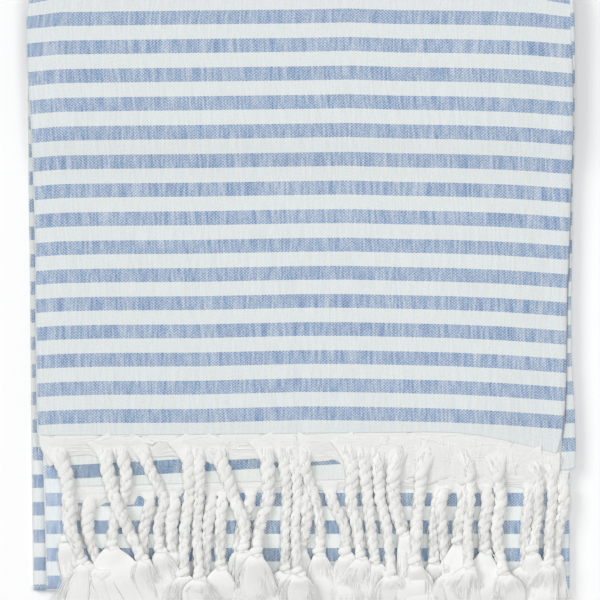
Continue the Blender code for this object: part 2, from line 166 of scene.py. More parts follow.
class Socket:
    """A number in a material. An expression on it adds its Math nodes."""

    def __init__(self, tree: "Shader", link: Any) -> None:
        """Wrap an output socket of a material's tree."""
        self.tree = tree
        self.link = link

    def math(self, operation: str, *others: Any) -> "Socket":
        """Add one Math node with this value first."""
        values = dict(enumerate((self, *others)))
        return self.tree.node("ShaderNodeMath", {"operation": operation}, values)

    def flip(self, operation: str, other: Any) -> "Socket":
        """Add one Math node with this value second."""
        return self.tree.node("ShaderNodeMath", {"operation": operation}, {0: other, 1: self})

    def __add__(self, other: Any) -> "Socket":
        """Sum."""
        return self.math("ADD", other)

    __radd__ = __add__

    def __sub__(self, other: Any) -> "Socket":
        """Difference."""
        return self.math("SUBTRACT", other)

    def __rsub__(self, other: Any) -> "Socket":
        """Difference from a number."""
        return self.flip("SUBTRACT", other)

    def __mul__(self, other: Any) -> "Socket":
        """Product."""
        return self.math("MULTIPLY", other)

    __rmul__ = __mul__

    def __abs__(self) -> "Socket":
        """Size without its sign."""
        return self.math("ABSOLUTE")

    def fraction(self) -> "Socket":
        """Part above the whole number below."""
        return self.math("FRACT")

    def ramp(self, low: float, high: float) -> "Socket":
        """Rise smoothly from 0 at low to 1 at high."""
        return self.tree.node("ShaderNodeMapRange", {"interpolation_type": "SMOOTHSTEP"},
                              {"Value": self, "From Min": low, "From Max": high})


class Shader:
    """A material under construction around one Principled shader."""

    def __init__(self, name: str) -> None:
        """Start an empty material.

        Args:
            name: the material's name.
        """
        self.material = bpy.data.materials.new(name)
        self.material.use_nodes = True
        self.nodes = self.material.node_tree.nodes
        self.links = self.material.node_tree.links
        self.surface = self.nodes["Principled BSDF"]

    def node(self, kind: str, settings: dict[str, Any], values: dict[Any, Any], output: Any = 0) -> Socket:
        """Add any node.

        Args:
            kind: the node's type.
            settings: its properties, which are set first.
            values: its input sockets by name or number, each a number, a colour or a Socket.
            output: the name or number of the output that is wanted.

        Returns:
            That output.
        """
        node = self.nodes.new(kind)
        for name, value in settings.items():
            setattr(node, name, value)
        for name, value in values.items():
            if isinstance(value, Socket):
                self.links.new(value.link, node.inputs[name])
            else:
                node.inputs[name].default_value = value
        return Socket(self, node.outputs[output])

    def split(self, vector: Socket) -> tuple[Socket, Socket]:
        """Part a vector.

        Args:
            vector: the vector.

        Returns:
            Its first two parts.
        """
        first = self.node("ShaderNodeSeparateXYZ", {}, {0: vector}, 0)
        second = Socket(self, first.link.node.outputs[1])
        return first, second

    def join(self, x: Any, y: Any, z: Any = 0.0) -> Socket:
        """Make a vector of three numbers."""
        return self.node("ShaderNodeCombineXYZ", {}, {0: x, 1: y, 2: z})

    def noise(self, vector: Socket, scale: float, detail: float = 2.0) -> Socket:
        """Smooth noise of about 0 to 1 at a vector."""
        return self.node("ShaderNodeTexNoise", {}, {"Vector": vector, "Scale": scale, "Detail": detail})

    def attribute(self, name: str) -> Socket:
        """Read a number stored on the mesh."""
        return self.node("ShaderNodeAttribute", {"attribute_name": name}, {}, "Fac")

    def blend(self, share: Socket, first: Any, second: Any) -> Socket:
        """Mix two colours, the second by its share."""
        return self.node("ShaderNodeMix", {"data_type": "RGBA"}, {0: share, 6: first, 7: second}, 2)

    def tint(self, colour: Any, share: Socket) -> Socket:
        """Darken a colour.

        Args:
            colour: the colour.
            share: the share of its brightness that is kept.

        Returns:
            The darker colour.
        """
        grey = self.join(share, share, share)
        return self.node("ShaderNodeMix", {"data_type": "RGBA", "blend_type": "MULTIPLY"},
                         {0: 1.0, 6: colour, 7: grey}, 2)

    def dress(self, values: dict[str, Any], links: dict[str, Socket]) -> bpy.types.Material:
        """Set the shader's own sockets and link the ones that vary.

        Args:
            values: plain numbers and colours.
            links: what changes over the surface.

        Returns:
            The finished material.
        """
        for name, value in values.items():
            self.surface.inputs[name].default_value = value
        for name, socket in links.items():
            self.links.new(socket.link, self.surface.inputs[name])
        return self.material


class Mottle(NamedTuple):
    """A soft pattern on the cloth: its cells for each thread, its own offset and the tones it spans."""

    across: float
    along: float
    offset: float
    detail: float
    low: float
    high: float

    def draw(self, shader: Shader, across: Socket, along: Socket) -> Socket:
        """Add the pattern to a material, from 0 to 1."""
        place = shader.join(across * self.across, along * self.along, self.offset)
        return shader.noise(place, 1.0, self.detail).ramp(self.low, self.high)


@dataclass(frozen=True)
class WovenCotton:
    """Plain weave: white warp, and picks that change from blue to white every stripe."""

    warp_white: Colour = (0.735, 0.770, 0.780, 1.0)
    weft_white: Colour = (0.715, 0.750, 0.760, 1.0)
    weft_blue: Colour = (0.010, 0.148, 0.410, 1.0)
    fleck: Colour = (0.000, 0.300, 0.480, 1.0)
    # Painted shade: where the deep attribute is high, the cloth turns towards these greyer, darker colours
    # and shows more blue weft.
    shaded_white: Colour = (0.750, 0.765, 0.715, 1.0)
    shaded_blue: Colour = (0.060, 0.130, 0.220, 1.0)
    streak: Mottle = Mottle(0.80, 0.060, 0.0, 1.0, 0.25, 0.75)
    drift: Mottle = Mottle(0.21, 0.012, 5.0, 1.0, 0.30, 0.70)
    yarn: Mottle = Mottle(0.90, 0.900, 9.0, 0.0, 0.20, 0.80)
    flecks: Mottle = Mottle(0.45, 0.500, 31.0, 0.0, 0.74, 0.82)
    blue_middle: float = 0.243
    blue_rim: Span = (0.236, 0.256)
    white_share: float = 0.5
    checker: float = 0.21
    streaks: float = 0.24
    drifts: float = 0.12
    grain: float = 0.18
    shade_deepening: float = 0.13
    shading: float = 0.35
    selvedge: Span = (1.0, 5.0)
    selvedge_pale: float = 0.05
    outer_thread: Span = (0.2, 1.1)
    outer_pale: float = 0.40
    base_light: float = 0.920
    checker_light: float = 0.025
    streak_light: float = 0.06
    yarn_light: float = 0.06
    bump: float = 0.25
    bump_height: float = 0.00010
    roughness: float = 0.92
    sheen: float = 0.25
    sheen_roughness: float = 0.5
    specular: float = 0.2

    def build(self) -> bpy.types.Material:
        """Make the material. It reads the sheet's own UV map, counted in threads.

        Returns:
            The finished material.
        """
        shader = Shader("woven_cotton_cloth")
        across, along = shader.split(shader.node("ShaderNodeUVMap", {"uv_map": "threads"}, {}))
        # deep is painted shade, 0 to 1, set under the top panel and between the fringe's cords.
        deep = shader.attribute("deep")
        over_under = (across * math.pi).math("SINE") * (along * math.pi).math("SINE")
        streak = self.streak.draw(shader, across, along)
        drift = self.drift.draw(shader, across, along)
        yarn = self.yarn.draw(shader, across, along)
        edge = ((1.0 - across.ramp(*self.selvedge)) * self.selvedge_pale
                + (1.0 - across.ramp(*self.outer_thread)) * self.outer_pale)
        white = (over_under * self.checker + self.white_share + (streak - 0.5) * self.streaks
                 + (drift - 0.5) * self.drifts + (yarn - 0.5) * self.grain + edge - deep * self.shade_deepening)
        white = white.math("MAXIMUM", 0.0).math("MINIMUM", 1.0)

        blue = shader.blend(self.flecks.draw(shader, across, along), self.weft_blue, self.fleck)
        blue = shader.blend(deep * self.shading, blue, self.shaded_blue)
        repeat = (along * (1.0 / PICKS_A_REPEAT)).fraction()
        blue_pick = 1.0 - abs(repeat - self.blue_middle).ramp(*self.blue_rim)
        weft = shader.blend(blue_pick, self.weft_white, blue)
        warp = shader.blend(deep, self.warp_white, self.shaded_white)
        cloth = shader.blend(white, weft, warp)

        # The light attribute paints light and shade into the colour: shade in the crease beside the lip,
        # brighter lower panels.
        light = (over_under * self.checker_light + streak * self.streak_light + yarn * self.yarn_light
                 + self.base_light) * shader.attribute("light")
        normal = shader.node("ShaderNodeBump", {}, {"Strength": self.bump, "Distance": self.bump_height,
                                                    "Height": abs(over_under)})
        return shader.dress(
            {"Roughness": self.roughness, "Sheen Weight": self.sheen,
             "Sheen Roughness": self.sheen_roughness, "Specular IOR Level": self.specular},
            {"Base Color": shader.tint(cloth, light), "Normal": normal})


@dataclass(frozen=True)
class TwistedCotton:
    """Undyed cotton yarn: fine fibres that run along it, a soft sheen and small tone changes."""

    name: str = "twisted_cotton_cord"
    bright: Colour = (0.922, 0.922, 0.906, 1.0)
    dull: Colour = (0.815, 0.812, 0.785, 1.0)
    fibre_scale: float = 2.6
    fibre_stretch: float = 0.10
    fibre_shift: float = 9.0
    fibre_detail: float = 3.0
    fibre_tones: Span = (0.25, 0.60)
    cloud_scale: float = 0.3
    cloud_shift: float = 5.0
    cloud_detail: float = 2.0
    fibre_share: float = 0.55
    cloud_share: float = 0.30
    tone_share: float = 0.25
    bump: float = 0.45
    bump_height: float = 0.00020
    roughness: float = 0.95
    sheen: float = 0.20
    sheen_roughness: float = 0.45
    specular: float = 0.2

    def build(self) -> bpy.types.Material:
        """Make the material. It reads the yarns' own UV map, in mm round and along each yarn.

        Returns:
            The finished material.
        """
        shader = Shader(self.name)
        around, along = shader.split(shader.node("ShaderNodeUVMap", {"uv_map": "yarn"}, {}))
        tone = shader.attribute("tone")
        strand = shader.join(around, along * self.fibre_stretch, tone * self.fibre_shift)
        fibre = shader.noise(strand, self.fibre_scale, self.fibre_detail)
        patch = shader.join(around * self.cloud_scale, along * self.cloud_scale, tone * self.cloud_shift)
        cloud = shader.noise(patch, 1.0, self.cloud_detail)
        share = (fibre.ramp(*self.fibre_tones) * self.fibre_share + cloud * self.cloud_share
                 + tone * self.tone_share)
        colour = shader.blend(share, self.dull, self.bright)
        normal = shader.node("ShaderNodeBump", {},
                             {"Strength": self.bump, "Distance": self.bump_height, "Height": fibre})
        # The light attribute paints light and shade into the yarn's colour.
        return shader.dress(
            {"Roughness": self.roughness, "Sheen Weight": self.sheen,
             "Sheen Roughness": self.sheen_roughness, "Specular IOR Level": self.specular},
            {"Base Color": shader.tint(colour, shader.attribute("light")), "Normal": normal})


@dataclass(frozen=True)
class PaleFloor:
    """A plain, nearly white studio floor."""

    colour: Colour = (0.96, 0.96, 0.96, 1.0)
    cloud_scale: float = 3.0
    unevenness: float = 0.01
    darkest: float = 0.992

    def build(self) -> bpy.types.Material:
        """Make the material, with the faintest unevenness.

        Returns:
            The finished material.
        """
        shader = Shader("pale_floor")
        uneven = shader.noise(shader.node("ShaderNodeTexCoord", {}, {}, "Object"), self.cloud_scale, 1.0)
        colour = shader.tint(self.colour, uneven * self.unevenness + self.darkest)
        return shader.dress({"Roughness": 1.0, "Specular IOR Level": 0.0}, {"Base Color": colour})


# ---------------------------------------------------------------------------------------------
# The folded sheet
# ---------------------------------------------------------------------------------------------

class Panel(Enum):
    """The stretches of the sheet from its visible end to its tucked end."""

    TOP = "top"
    BACK_FOLD = "back_fold"
    BASE = "base"
    FRONT_FOLD = "front_fold"
    TUCKED = "tucked"


class Zone(Enum):
    """The stretches across the doubled sheet, from one selvedge to the other."""

    OUTER = "outer"
    NOSE = "nose"
    LIP = "lip"
    TURN = "turn"
    INNER = "inner"


class Edge(NamedTuple):
    """Edges of the doubled sheet at one place along it."""

    place: float
    outer_left: float
    inner_left: float
    nose: float
    right: float


class EndPoint(NamedTuple):
    """A point of the sheet's visible end line."""

    x: float
    y: float


class BandMark(NamedTuple):
    """Where the count of stripes is known along the top panel."""

    y: float
    count: float


class Bow(NamedTuple):
    """How far the picks bow towards the fringe, near the back fold and near the fringe."""

    x: float
    far: float
    near: float


class Relief(NamedTuple):
    """A soft trough or ridge of the top panel along a slanted line."""

    x: float
    y: float
    lean: float
    reach_across: float
    reach_along: float
    height: float


class NosePoint(NamedTuple):
    """The outer half's edge in section: where it turns down to the lip."""

    beyond: float
    drop: float


class Swell(NamedTuple):
    """Broad unevenness of the top panel: the size of its waves, their height and the pattern's number."""

    width: float
    length: float
    height: float
    seed: int


class Crease(NamedTuple):
    """Painted shade at one point of the nose, in the crease beside the lip: the share of light that is kept
    there.
    """

    nose_point: int
    tone: float


class Stripes(NamedTuple):
    """The count of stripe repeats along a flat panel: its value at Y = 0 and the length of a repeat."""

    start: float
    repeat: float

    def repeats(self, y: Any) -> Any:
        """Count the repeats at y."""
        return self.start + y / self.repeat


class Depth(NamedTuple):
    """How deep the unwoven heading hangs between the cords."""

    x: float
    depth: float


class Level(NamedTuple):
    """Centre line and offsets of the two halves in one panel."""

    outer: float
    inner: float


EDGES = (
    Edge(0.000, -121.3, -109.0, 118.0, 126.6),
    Edge(0.088, -121.5, -109.5, 118.4, 127.1),
    Edge(0.111, -121.6, -109.9, 119.0, 127.3),
    Edge(0.130, -121.6, -110.4, 120.3, 127.5),
    Edge(0.148, -121.7, -110.8, 121.3, 127.6),
    Edge(0.207, -122.0, -111.2, 122.8, 127.3),
    Edge(0.267, -122.2, -111.7, 123.3, 126.5),
    Edge(0.324, -122.3, -112.3, 123.3, 125.7),
    Edge(0.437, -122.4, -113.5, 123.8, 125.6),
    Edge(0.482, -122.4, -113.9, 124.4, 125.9),
    Edge(0.603, -123.3, -115.2, 125.4, 126.2),
    Edge(0.684, -123.9, -116.0, 125.9, 126.7),
    Edge(0.744, -124.3, -117.0, 126.1, 126.9),
    Edge(0.805, -125.3, -117.5, 126.1, 127.0),
    Edge(0.865, -126.2, -118.0, 126.0, 127.0),
    Edge(0.946, -126.5, -119.0, 125.9, 126.8),
    Edge(0.987, -125.4, -120.0, 125.7, 126.5),
    Edge(1.000, -125.0, -120.0, 125.4, 126.2),
    Edge(1.500, -123.8, -120.0, 122.8, 124.5),
    Edge(2.000, -126.2, -121.0, 123.2, 125.0),
    Edge(2.170, -126.6, -121.0, 123.2, 125.0),
    Edge(2.350, -126.1, -120.5, 123.2, 125.0),
    Edge(2.460, -125.6, -120.0, 123.2, 125.0),
    Edge(2.760, -124.8, -117.5, 123.2, 125.0),
    Edge(3.000, -124.0, -116.5, 123.2, 125.0),
    Edge(3.600, -123.6, -116.5, 123.2, 125.0),
    Edge(3.930, -123.6, -116.2, 123.2, 125.0),
    Edge(4.000, -117.4, -116.0, 123.2, 125.0),
    Edge(4.270, -119.0, -117.0, 123.2, 125.0),
    Edge(5.000, -120.0, -117.5, 122.7, 124.5),
)
OUTER_END = (EndPoint(-122.0, -65.6), EndPoint(-60.0, -65.2), EndPoint(0.0, -64.6), EndPoint(60.0, -64.0),
             EndPoint(72.0, -64.2), EndPoint(84.0, -65.6), EndPoint(94.0, -67.6), EndPoint(104.0, -70.0),
             EndPoint(114.0, -72.6), EndPoint(118.0, -73.9), EndPoint(122.0, -74.6))
INNER_END = (EndPoint(-110.0, -89.5), EndPoint(46.0, -85.5), EndPoint(114.0, -82.6), EndPoint(121.0, -81.6),
             EndPoint(124.5, -81.6), EndPoint(126.8, -80.6))
BAND_MARKS = (BandMark(-65.0, 15.0), BandMark(-52.0, 14.0), BandMark(25.9, 8.0), BandMark(131.4, 0.0),
              BandMark(144.6, -1.0))
BOWS = (
    Bow(-127.0, 2.6, 2.9),
    Bow(-118.0, 1.8, 2.2),
    Bow(-111.0, 1.2, 1.8),
    Bow(-92.0, 1.0, 1.3),
    Bow(-46.0, 0.4, 1.2),
    Bow(0.0, 0.0, 0.0),
    Bow(23.0, -0.5, 0.1),
    Bow(46.0, 0.3, 0.5),
    Bow(70.0, 0.5, 1.1),
    Bow(93.0, 0.9, 2.2),
    Bow(107.0, 1.4, 3.2),
    Bow(120.0, 2.4, 4.1),
    Bow(127.0, 2.9, 4.6),
)
RELIEFS = (
    Relief(-78.0, 20.0, 0.0, 34.0, 80.0, 0.35),
    Relief(62.0, 60.0, 0.0, 40.0, 50.0, 0.30),
    Relief(1.0, -62.0, -0.02, 2.2, 60.0, -0.55),
    Relief(-4.0, -62.0, -0.02, 4.0, 50.0, 0.28),
    Relief(6.5, -62.0, -0.02, 4.0, 50.0, 0.25),
    Relief(44.0, -20.0, 0.10, 3.0, 60.0, -0.22),
    Relief(88.0, -48.0, 0.3, 14.0, 20.0, 0.35),
    Relief(-40.0, -56.0, 0.0, 12.0, 7.0, 0.30),
    Relief(30.0, -58.0, 0.0, 10.0, 6.0, 0.30),
    Relief(-92.0, -58.0, 0.0, 10.0, 6.0, 0.30),
)
NOSE = (
    NosePoint(-1.00, 0.00),
    NosePoint(-0.50, 0.05),
    NosePoint(-0.15, 0.25),
    NosePoint(0.00, 0.60),
    NosePoint(0.05, 1.00),
    NosePoint(0.25, 1.28),
    NosePoint(0.65, 1.38),
)
LEVELS = {
    Panel.TOP: Level(0.75, -0.75),
    Panel.BACK_FOLD: Level(0.75, -0.75),
    Panel.BASE: Level(0.88, -0.75),
    Panel.FRONT_FOLD: Level(0.75, -0.75),
    Panel.TUCKED: Level(0.75, -0.75),
}
SWELLS = (Swell(21.0, 27.0, 0.16, 3), Swell(8.0, 13.0, 0.07, 5))
CREASE_SHADES = (Crease(3, 0.75), Crease(4, 0.50), Crease(5, 0.60), Crease(6, 0.88))
BASE_STRIPES = Stripes(-12.96, 12.825)
TUCKED_STRIPES = Stripes(-34.21, -12.8)
# The last point of the nose that starts from the outer end line. The others start from the inner one.
NOSE_BREAK = 3


def top_end(x: Any, inner: bool) -> Any:
    """Y of the sheet's visible end at x on one of its halves."""
    return read_column(INNER_END if inner else OUTER_END, "x", "y", x)


@dataclass
class TowelSheet:
    """The one sheet of striped cloth, doubled lengthwise and folded in thirds."""

    thickness: float = 0.72
    base_level: float = 1.25
    tucked_level: float = 4.25
    top_level: float = 7.25
    top_over_fringe: float = 11.2
    rise: Span = (50.0, 80.0)
    back_fold_y: float = 139.2
    front_fold_y: float = -135.25
    corner_x: float = -117.6
    corner_half: float = 0.1
    tucked_end: float = 74.0
    inner_short: float = 3.0
    end_span: float = 90.0
    row_spread: float = 1.25
    lip_ends: Span = (96.0, 128.0)
    lip_tuck: float = 0.85
    lip_room: float = 0.6
    bend_room: float = 0.3
    crown: float = 1.5
    crown_shade: float = 1.9
    right_fall: Span = (78.0, 126.0)
    left_fall: Span = (-106.0, -125.0)
    flat_at_back: Span = (104.0, 134.0)
    end_fall: float = 0.9
    end_fall_y: Span = (-70.0, -52.0)
    nose_x: float = 122.8
    nose_height: float = 0.75
    nose_reach: float = 5.0
    ripple_width: float = 30.0
    ripple_length: float = 9.0
    ripple_seed: int = 11
    base_ripple: float = 0.12
    tucked_ripple: float = 0.15
    ripple_start: float = 8.0
    warp_pitch: float = 0.80
    repeat: float = 13.1
    last_band: float = 14.97
    inner_band: float = 14.0
    inner_band_y: float = -79.3
    inner_band_x: float = -105.3
    inner_band_slope: float = 0.055
    bow_far_y: float = 131.4
    bow_near_y: float = -52.0
    corner_bow: float = 2.2
    corner_bow_y: Span = (122.0, 140.0)
    corner_bow_x: Span = (108.0, 127.0)
    fold_turn: float = 0.8
    fold_change: Span = (0.30, 0.50)
    # Painted light: lower_light brightens the lower panels; the crease spans fade the painted shade beside
    # the lip.
    lower_light: float = 1.09
    deep_light: float = 0.03
    # Painted shade: how much the deep attribute greys and darkens the cloth on the lower panels, behind the
    # fringe and on the inner half's end.
    hidden_panel_shade: float = 0.5
    fringe_shade_sides: Span = (112.0, 92.0)
    fringe_shade_front: Span = (-70.0, -90.0)
    inner_half_shade: Span = (-60.0, -68.0)
    crease_far: Span = (125.0, 70.0)
    crease_near: Span = (-74.0, -58.0)
    outer_steps: int = 100
    lip_steps: int = 3
    turn_steps: int = 6
    inner_steps: int = 58
    panel_steps: dict[Panel, int] = field(default_factory=lambda: {
        Panel.TOP: 108, Panel.BACK_FOLD: 14, Panel.BASE: 36, Panel.FRONT_FOLD: 12, Panel.TUCKED: 56})

    def stations(self) -> list[tuple[Panel, float]]:
        """List the rows of the sheet's grid.

        Returns:
            A panel and a share of its length for each row.
        """
        rows = [(Panel.TOP, 0.0)]
        for panel, steps in self.panel_steps.items():
            rows += [(panel, step / steps) for step in range(1, steps + 1)]
        return rows

    def columns(self) -> list[tuple[Zone, float]]:
        """List the columns of the sheet's grid.

        Returns:
            A zone and a share of its width for each column, or the point's number in the nose.
        """
        rows = [(Zone.OUTER, step / self.outer_steps) for step in range(self.outer_steps)]
        rows += [(Zone.NOSE, float(step)) for step in range(len(NOSE))]
        rows += [(Zone.LIP, step / self.lip_steps) for step in range(1, self.lip_steps + 1)]
        rows += [(Zone.TURN, step / self.turn_steps) for step in range(1, self.turn_steps)]
        rows += [(Zone.INNER, 1.0 - step / self.inner_steps) for step in range(self.inner_steps + 1)]
        return rows

    def below(self) -> np.ndarray:
        """Say which columns start from the inner end line."""
        return np.arange(len(self.columns())) > self.outer_steps + NOSE_BREAK

    def section(self, place: float, level: Level, lip: float) -> tuple[np.ndarray, np.ndarray]:
        """Lay out the doubled sheet's section at one place along it.

        Args:
            place: 0 to 5 along the sheet.
            level: offsets of the two halves from the centre line.
            lip: how far the edge is turned down to the lip, 0 to 1.

        Returns:
            X and the offset from the centre line of every column.
        """
        edge = {name: float(read_column(EDGES, "place", name, place))
                for name in ("outer_left", "inner_left", "nose", "right")}
        start = edge["nose"] + NOSE[0].beyond
        low = level.outer - lip * NOSE[-1].drop * self.lip_tuck
        turn = abs(low - level.inner) / 2
        rim = edge["right"] - turn
        xs, offsets = [], []
        for zone, share in self.columns():
            if zone is Zone.OUTER:
                x, offset = edge["outer_left"] + (start - edge["outer_left"]) * share, level.outer
            elif zone is Zone.NOSE:
                point = NOSE[int(share)]
                flat = start + (rim - self.lip_room - start) * share / (len(NOSE) - 1)
                bent = min(edge["nose"] + point.beyond, rim - self.bend_room)
                x, offset = flat + (bent - flat) * lip, level.outer - lip * point.drop * self.lip_tuck
            elif zone is Zone.LIP:
                last = xs[self.outer_steps + len(NOSE) - 1]
                x, offset = last + (rim - last) * share, low
            elif zone is Zone.TURN:
                angle = math.pi * share
                x = rim + turn * math.sin(angle)
                offset = (low + level.inner) / 2 + (low - level.inner) / 2 * math.cos(angle)
            else:
                x, offset = edge["inner_left"] + (rim - edge["inner_left"]) * share, level.inner
            xs.append(x)
            offsets.append(offset)
        return np.array(xs), np.array(offsets)

    def centre(self, y: Any) -> Any:
        """Level of the top panel's centre line, which rises over the tucked fringe."""
        return self.top_level + (self.top_over_fringe - self.top_level) * smooth_step(y, *self.rise)

    def nose_rise(self, x: Any) -> Any:
        """Height that the outer half gains where it rounds the fold."""
        return self.nose_height * bell(np.minimum(x - self.nose_x, 0.0), self.nose_reach)

    def relief(self, x: np.ndarray, y: np.ndarray) -> np.ndarray:
        """Height of the top panel above flat: crown, creases and low swells.

        Args:
            x: places across the towel, in mm.
            y: places along it.

        Returns:
            The height at each place, in mm.
        """
        total = self.crown - self.crown_shade * np.square(ramp(x, *self.right_fall))
        total -= self.crown_shade * np.square(ramp(x, *self.left_fall))
        for item in RELIEFS:
            across = x - item.x - item.lean * (y - item.y)
            total += item.height * bell(across, item.reach_across) * bell(y - item.y, item.reach_along)
        total += sum(swell.height * value_noise(np.stack([x / swell.width, y / swell.length], -1), swell.seed)
                     for swell in SWELLS)
        total *= 1.0 - smooth_step(y, *self.flat_at_back)
        return total - self.end_fall * (1.0 - smooth_step(y, *self.end_fall_y))

    def end_surface(self, x: Any, inner: bool) -> np.ndarray:
        """Upper face of one half of the cloth at its visible end.

        Args:
            x: places across the towel, in mm.
            inner: whether it is the half that lies beneath.

        Returns:
            The level at each place, in mm.
        """
        x = np.asarray(x, float)
        if inner:
            return np.full_like(x, self.top_level + LEVELS[Panel.TOP].inner + self.thickness / 2)
        y = top_end(x, False)
        face = LEVELS[Panel.TOP].outer + self.thickness / 2
        return self.centre(y) + face + self.relief(x, y) + self.nose_rise(x)

    def band_outer(self, x: np.ndarray, y: np.ndarray) -> np.ndarray:
        """Count the stripe repeats in the top panel's outer half.

        Args:
            x: places across the towel, in mm.
            y: places along it.

        Returns:
            The count at each place.
        """
        near = ramp(y, self.bow_far_y, self.bow_near_y)
        bow = read_column(BOWS, "x", "far", x) * (1 - near) + read_column(BOWS, "x", "near", x) * near
        corner = smooth_step(y, *self.corner_bow_y) * smooth_step(np.abs(x), *self.corner_bow_x)
        count = read_column(BAND_MARKS, "y", "count", y + bow + self.corner_bow * corner)
        return np.minimum(count, self.last_band)

    def band_inner(self, x: np.ndarray, y: np.ndarray) -> np.ndarray:
        """Count the stripe repeats in the top panel's inner half and its lip."""
        last = self.inner_band_y + self.inner_band_slope * (x - self.inner_band_x)
        return np.minimum(self.inner_band + (last - y) / self.repeat, self.last_band)

    def row(self, panel: Panel, share: float) -> tuple[np.ndarray, np.ndarray]:
        """Place one row of the grid.

        Args:
            panel: the stretch of the sheet.
            share: how far along it.

        Returns:
            The points in mm and the count of stripe repeats, one of each for every column.
        """
        if panel is Panel.TOP:
            return self.top_row(share)
        if panel is Panel.BACK_FOLD:
            return self.back_fold_row(share)
        if panel is Panel.FRONT_FOLD:
            return self.front_fold_row(share)
        return self.flat_row(panel, share)

    def top_row(self, share: float) -> tuple[np.ndarray, np.ndarray]:
        """Place a row of the top panel, between the uneven end lines and the back fold.

        Args:
            share: how far along the panel.

        Returns:
            Its points and counts, as in row.
        """
        below = self.below()
        lean = np.clip((np.arange(len(below)) - self.outer_steps) / (len(NOSE) - 1.0), 0.0, 1.0)
        eased = share ** self.row_spread
        rough_y = top_end(0.0, False) + (self.back_fold_y - top_end(0.0, False)) * eased
        for _ in range(2):
            place = float((rough_y + self.end_span) / (self.back_fold_y + self.end_span))
            lip = 1.0 - float(smooth_step(rough_y, *self.lip_ends))
            x, offset = self.section(place, LEVELS[Panel.TOP], lip)
            start = np.where(below, top_end(x, True), top_end(x, False))
            y = start + (self.back_fold_y - start) * eased
            rough_y = y[self.outer_steps // 2]
        lift = (self.relief(x, y) + self.nose_rise(x) * lip) * (1 - lean)
        band = np.where(below, self.band_inner(x, y), self.band_outer(x, y))
        return np.stack([x, y, self.centre(y) + offset + lift], -1), band

    def flat_row(self, panel: Panel, share: float) -> tuple[np.ndarray, np.ndarray]:
        """Place a row of the base or the tucked panel.

        Args:
            panel: which of the two.
            share: how far along it.

        Returns:
            Its points and counts, as in row.
        """
        inner = np.array([zone in (Zone.TURN, Zone.INNER) for zone, _ in self.columns()])
        order = list(Panel).index(panel)
        x, offset = self.section(order + share, LEVELS[panel], 0.0)
        place = np.stack([x / self.ripple_width, np.full_like(x, share * self.ripple_length + order)], -1)
        ripple = 0.5 + 0.5 * value_noise(place, self.ripple_seed)
        if panel is Panel.BASE:
            y = np.full_like(x, self.back_fold_y + (self.front_fold_y - self.back_fold_y) * share)
            z = self.base_level - offset + self.base_ripple * ripple * inner
            return np.stack([x, y, z], -1), BASE_STRIPES.repeats(y)
        y = self.front_fold_y + (self.tucked_end - self.front_fold_y - self.inner_short * inner) * share
        ripple = self.tucked_ripple * ripple * min(1.0, share * self.ripple_start)
        return np.stack([x, y, self.tucked_level + offset + ripple], -1), TUCKED_STRIPES.repeats(y)

    def bend(self, offset: np.ndarray, upper: float, angle: float) -> tuple[np.ndarray, ...]:
        """Bend a section round a fold between the base and the panel above it.

        Args:
            offset: each column's offset from the centre line.
            upper: level of the panel above.
            angle: how far round, from straight below to straight above, in radians.

        Returns:
            Each column's radius, reach past the fold's centre and level.
        """
        radius = (upper - self.base_level) / 2 + offset
        middle = (upper + self.base_level) / 2
        return radius, radius * math.cos(angle), middle + radius * math.sin(angle)

    def back_fold_row(self, share: float) -> tuple[np.ndarray, np.ndarray]:
        """Place a row of the back fold.

        Args:
            share: how far round the fold.

        Returns:
            Its points and counts, as in row.
        """
        order = list(Panel).index(Panel.BACK_FOLD)
        x, offset = self.section(order + share, LEVELS[Panel.BACK_FOLD], 0.0)
        _, reach, z = self.bend(offset, self.top_over_fringe, math.pi * (0.5 - share))
        edge_y = np.full_like(x, self.back_fold_y)
        first = np.where(self.below(), self.band_inner(x, edge_y), self.band_outer(x, edge_y))
        band = first + (BASE_STRIPES.repeats(edge_y) - first) * share
        return np.stack([x, edge_y + reach, z], -1), band

    def front_fold_row(self, share: float) -> tuple[np.ndarray, np.ndarray]:
        """Place a row of the front fold, whose stripes meet those of the tucked panel.

        Args:
            share: how far round the fold.

        Returns:
            Its points and counts, as in row.
        """
        order = list(Panel).index(Panel.FRONT_FOLD)
        x, offset = self.section(order + share, LEVELS[Panel.FRONT_FOLD], 0.0)
        if share < 1.0:
            x[2:4] = self.corner_x - self.corner_half, self.corner_x + self.corner_half
        radius, reach, z = self.bend(offset, self.tucked_level, math.pi * (share - 0.5))
        edge_y = np.full_like(x, self.front_fold_y)
        turned = math.pi * radius / self.repeat
        near_base = BASE_STRIPES.repeats(edge_y) - self.fold_turn * turned * share
        near_tucked = TUCKED_STRIPES.repeats(edge_y) + turned * (1.0 - share)
        weight = (x > self.corner_x) * smooth_step(share, *self.fold_change)
        band = near_base + (near_tucked - near_base) * weight
        return np.stack([x, edge_y - reach, z], -1), band

    def deep(self, points: np.ndarray) -> np.ndarray:
        """Share of painted shade in the cloth's colour: on the lower panels, under the top one, and behind
        the fringe.

        Args:
            points: the grid, shaped (rows, columns, 3).

        Returns:
            The share at each point.
        """
        share = np.zeros(points.shape[:2])
        top, last = self.panel_steps[Panel.TOP], self.panel_steps[Panel.TUCKED]
        share[top:-last] = self.hidden_panel_shade
        x, y = np.abs(points[-last:, :, 0]), points[-last:, :, 1]
        share[-last:] = smooth_step(x, *self.fringe_shade_sides) * smooth_step(y, *self.fringe_shade_front)
        inner = self.outer_steps + len(NOSE) + self.lip_steps
        share[:top, inner:] = smooth_step(points[:top, inner:, 1], *self.inner_half_shade)
        return share

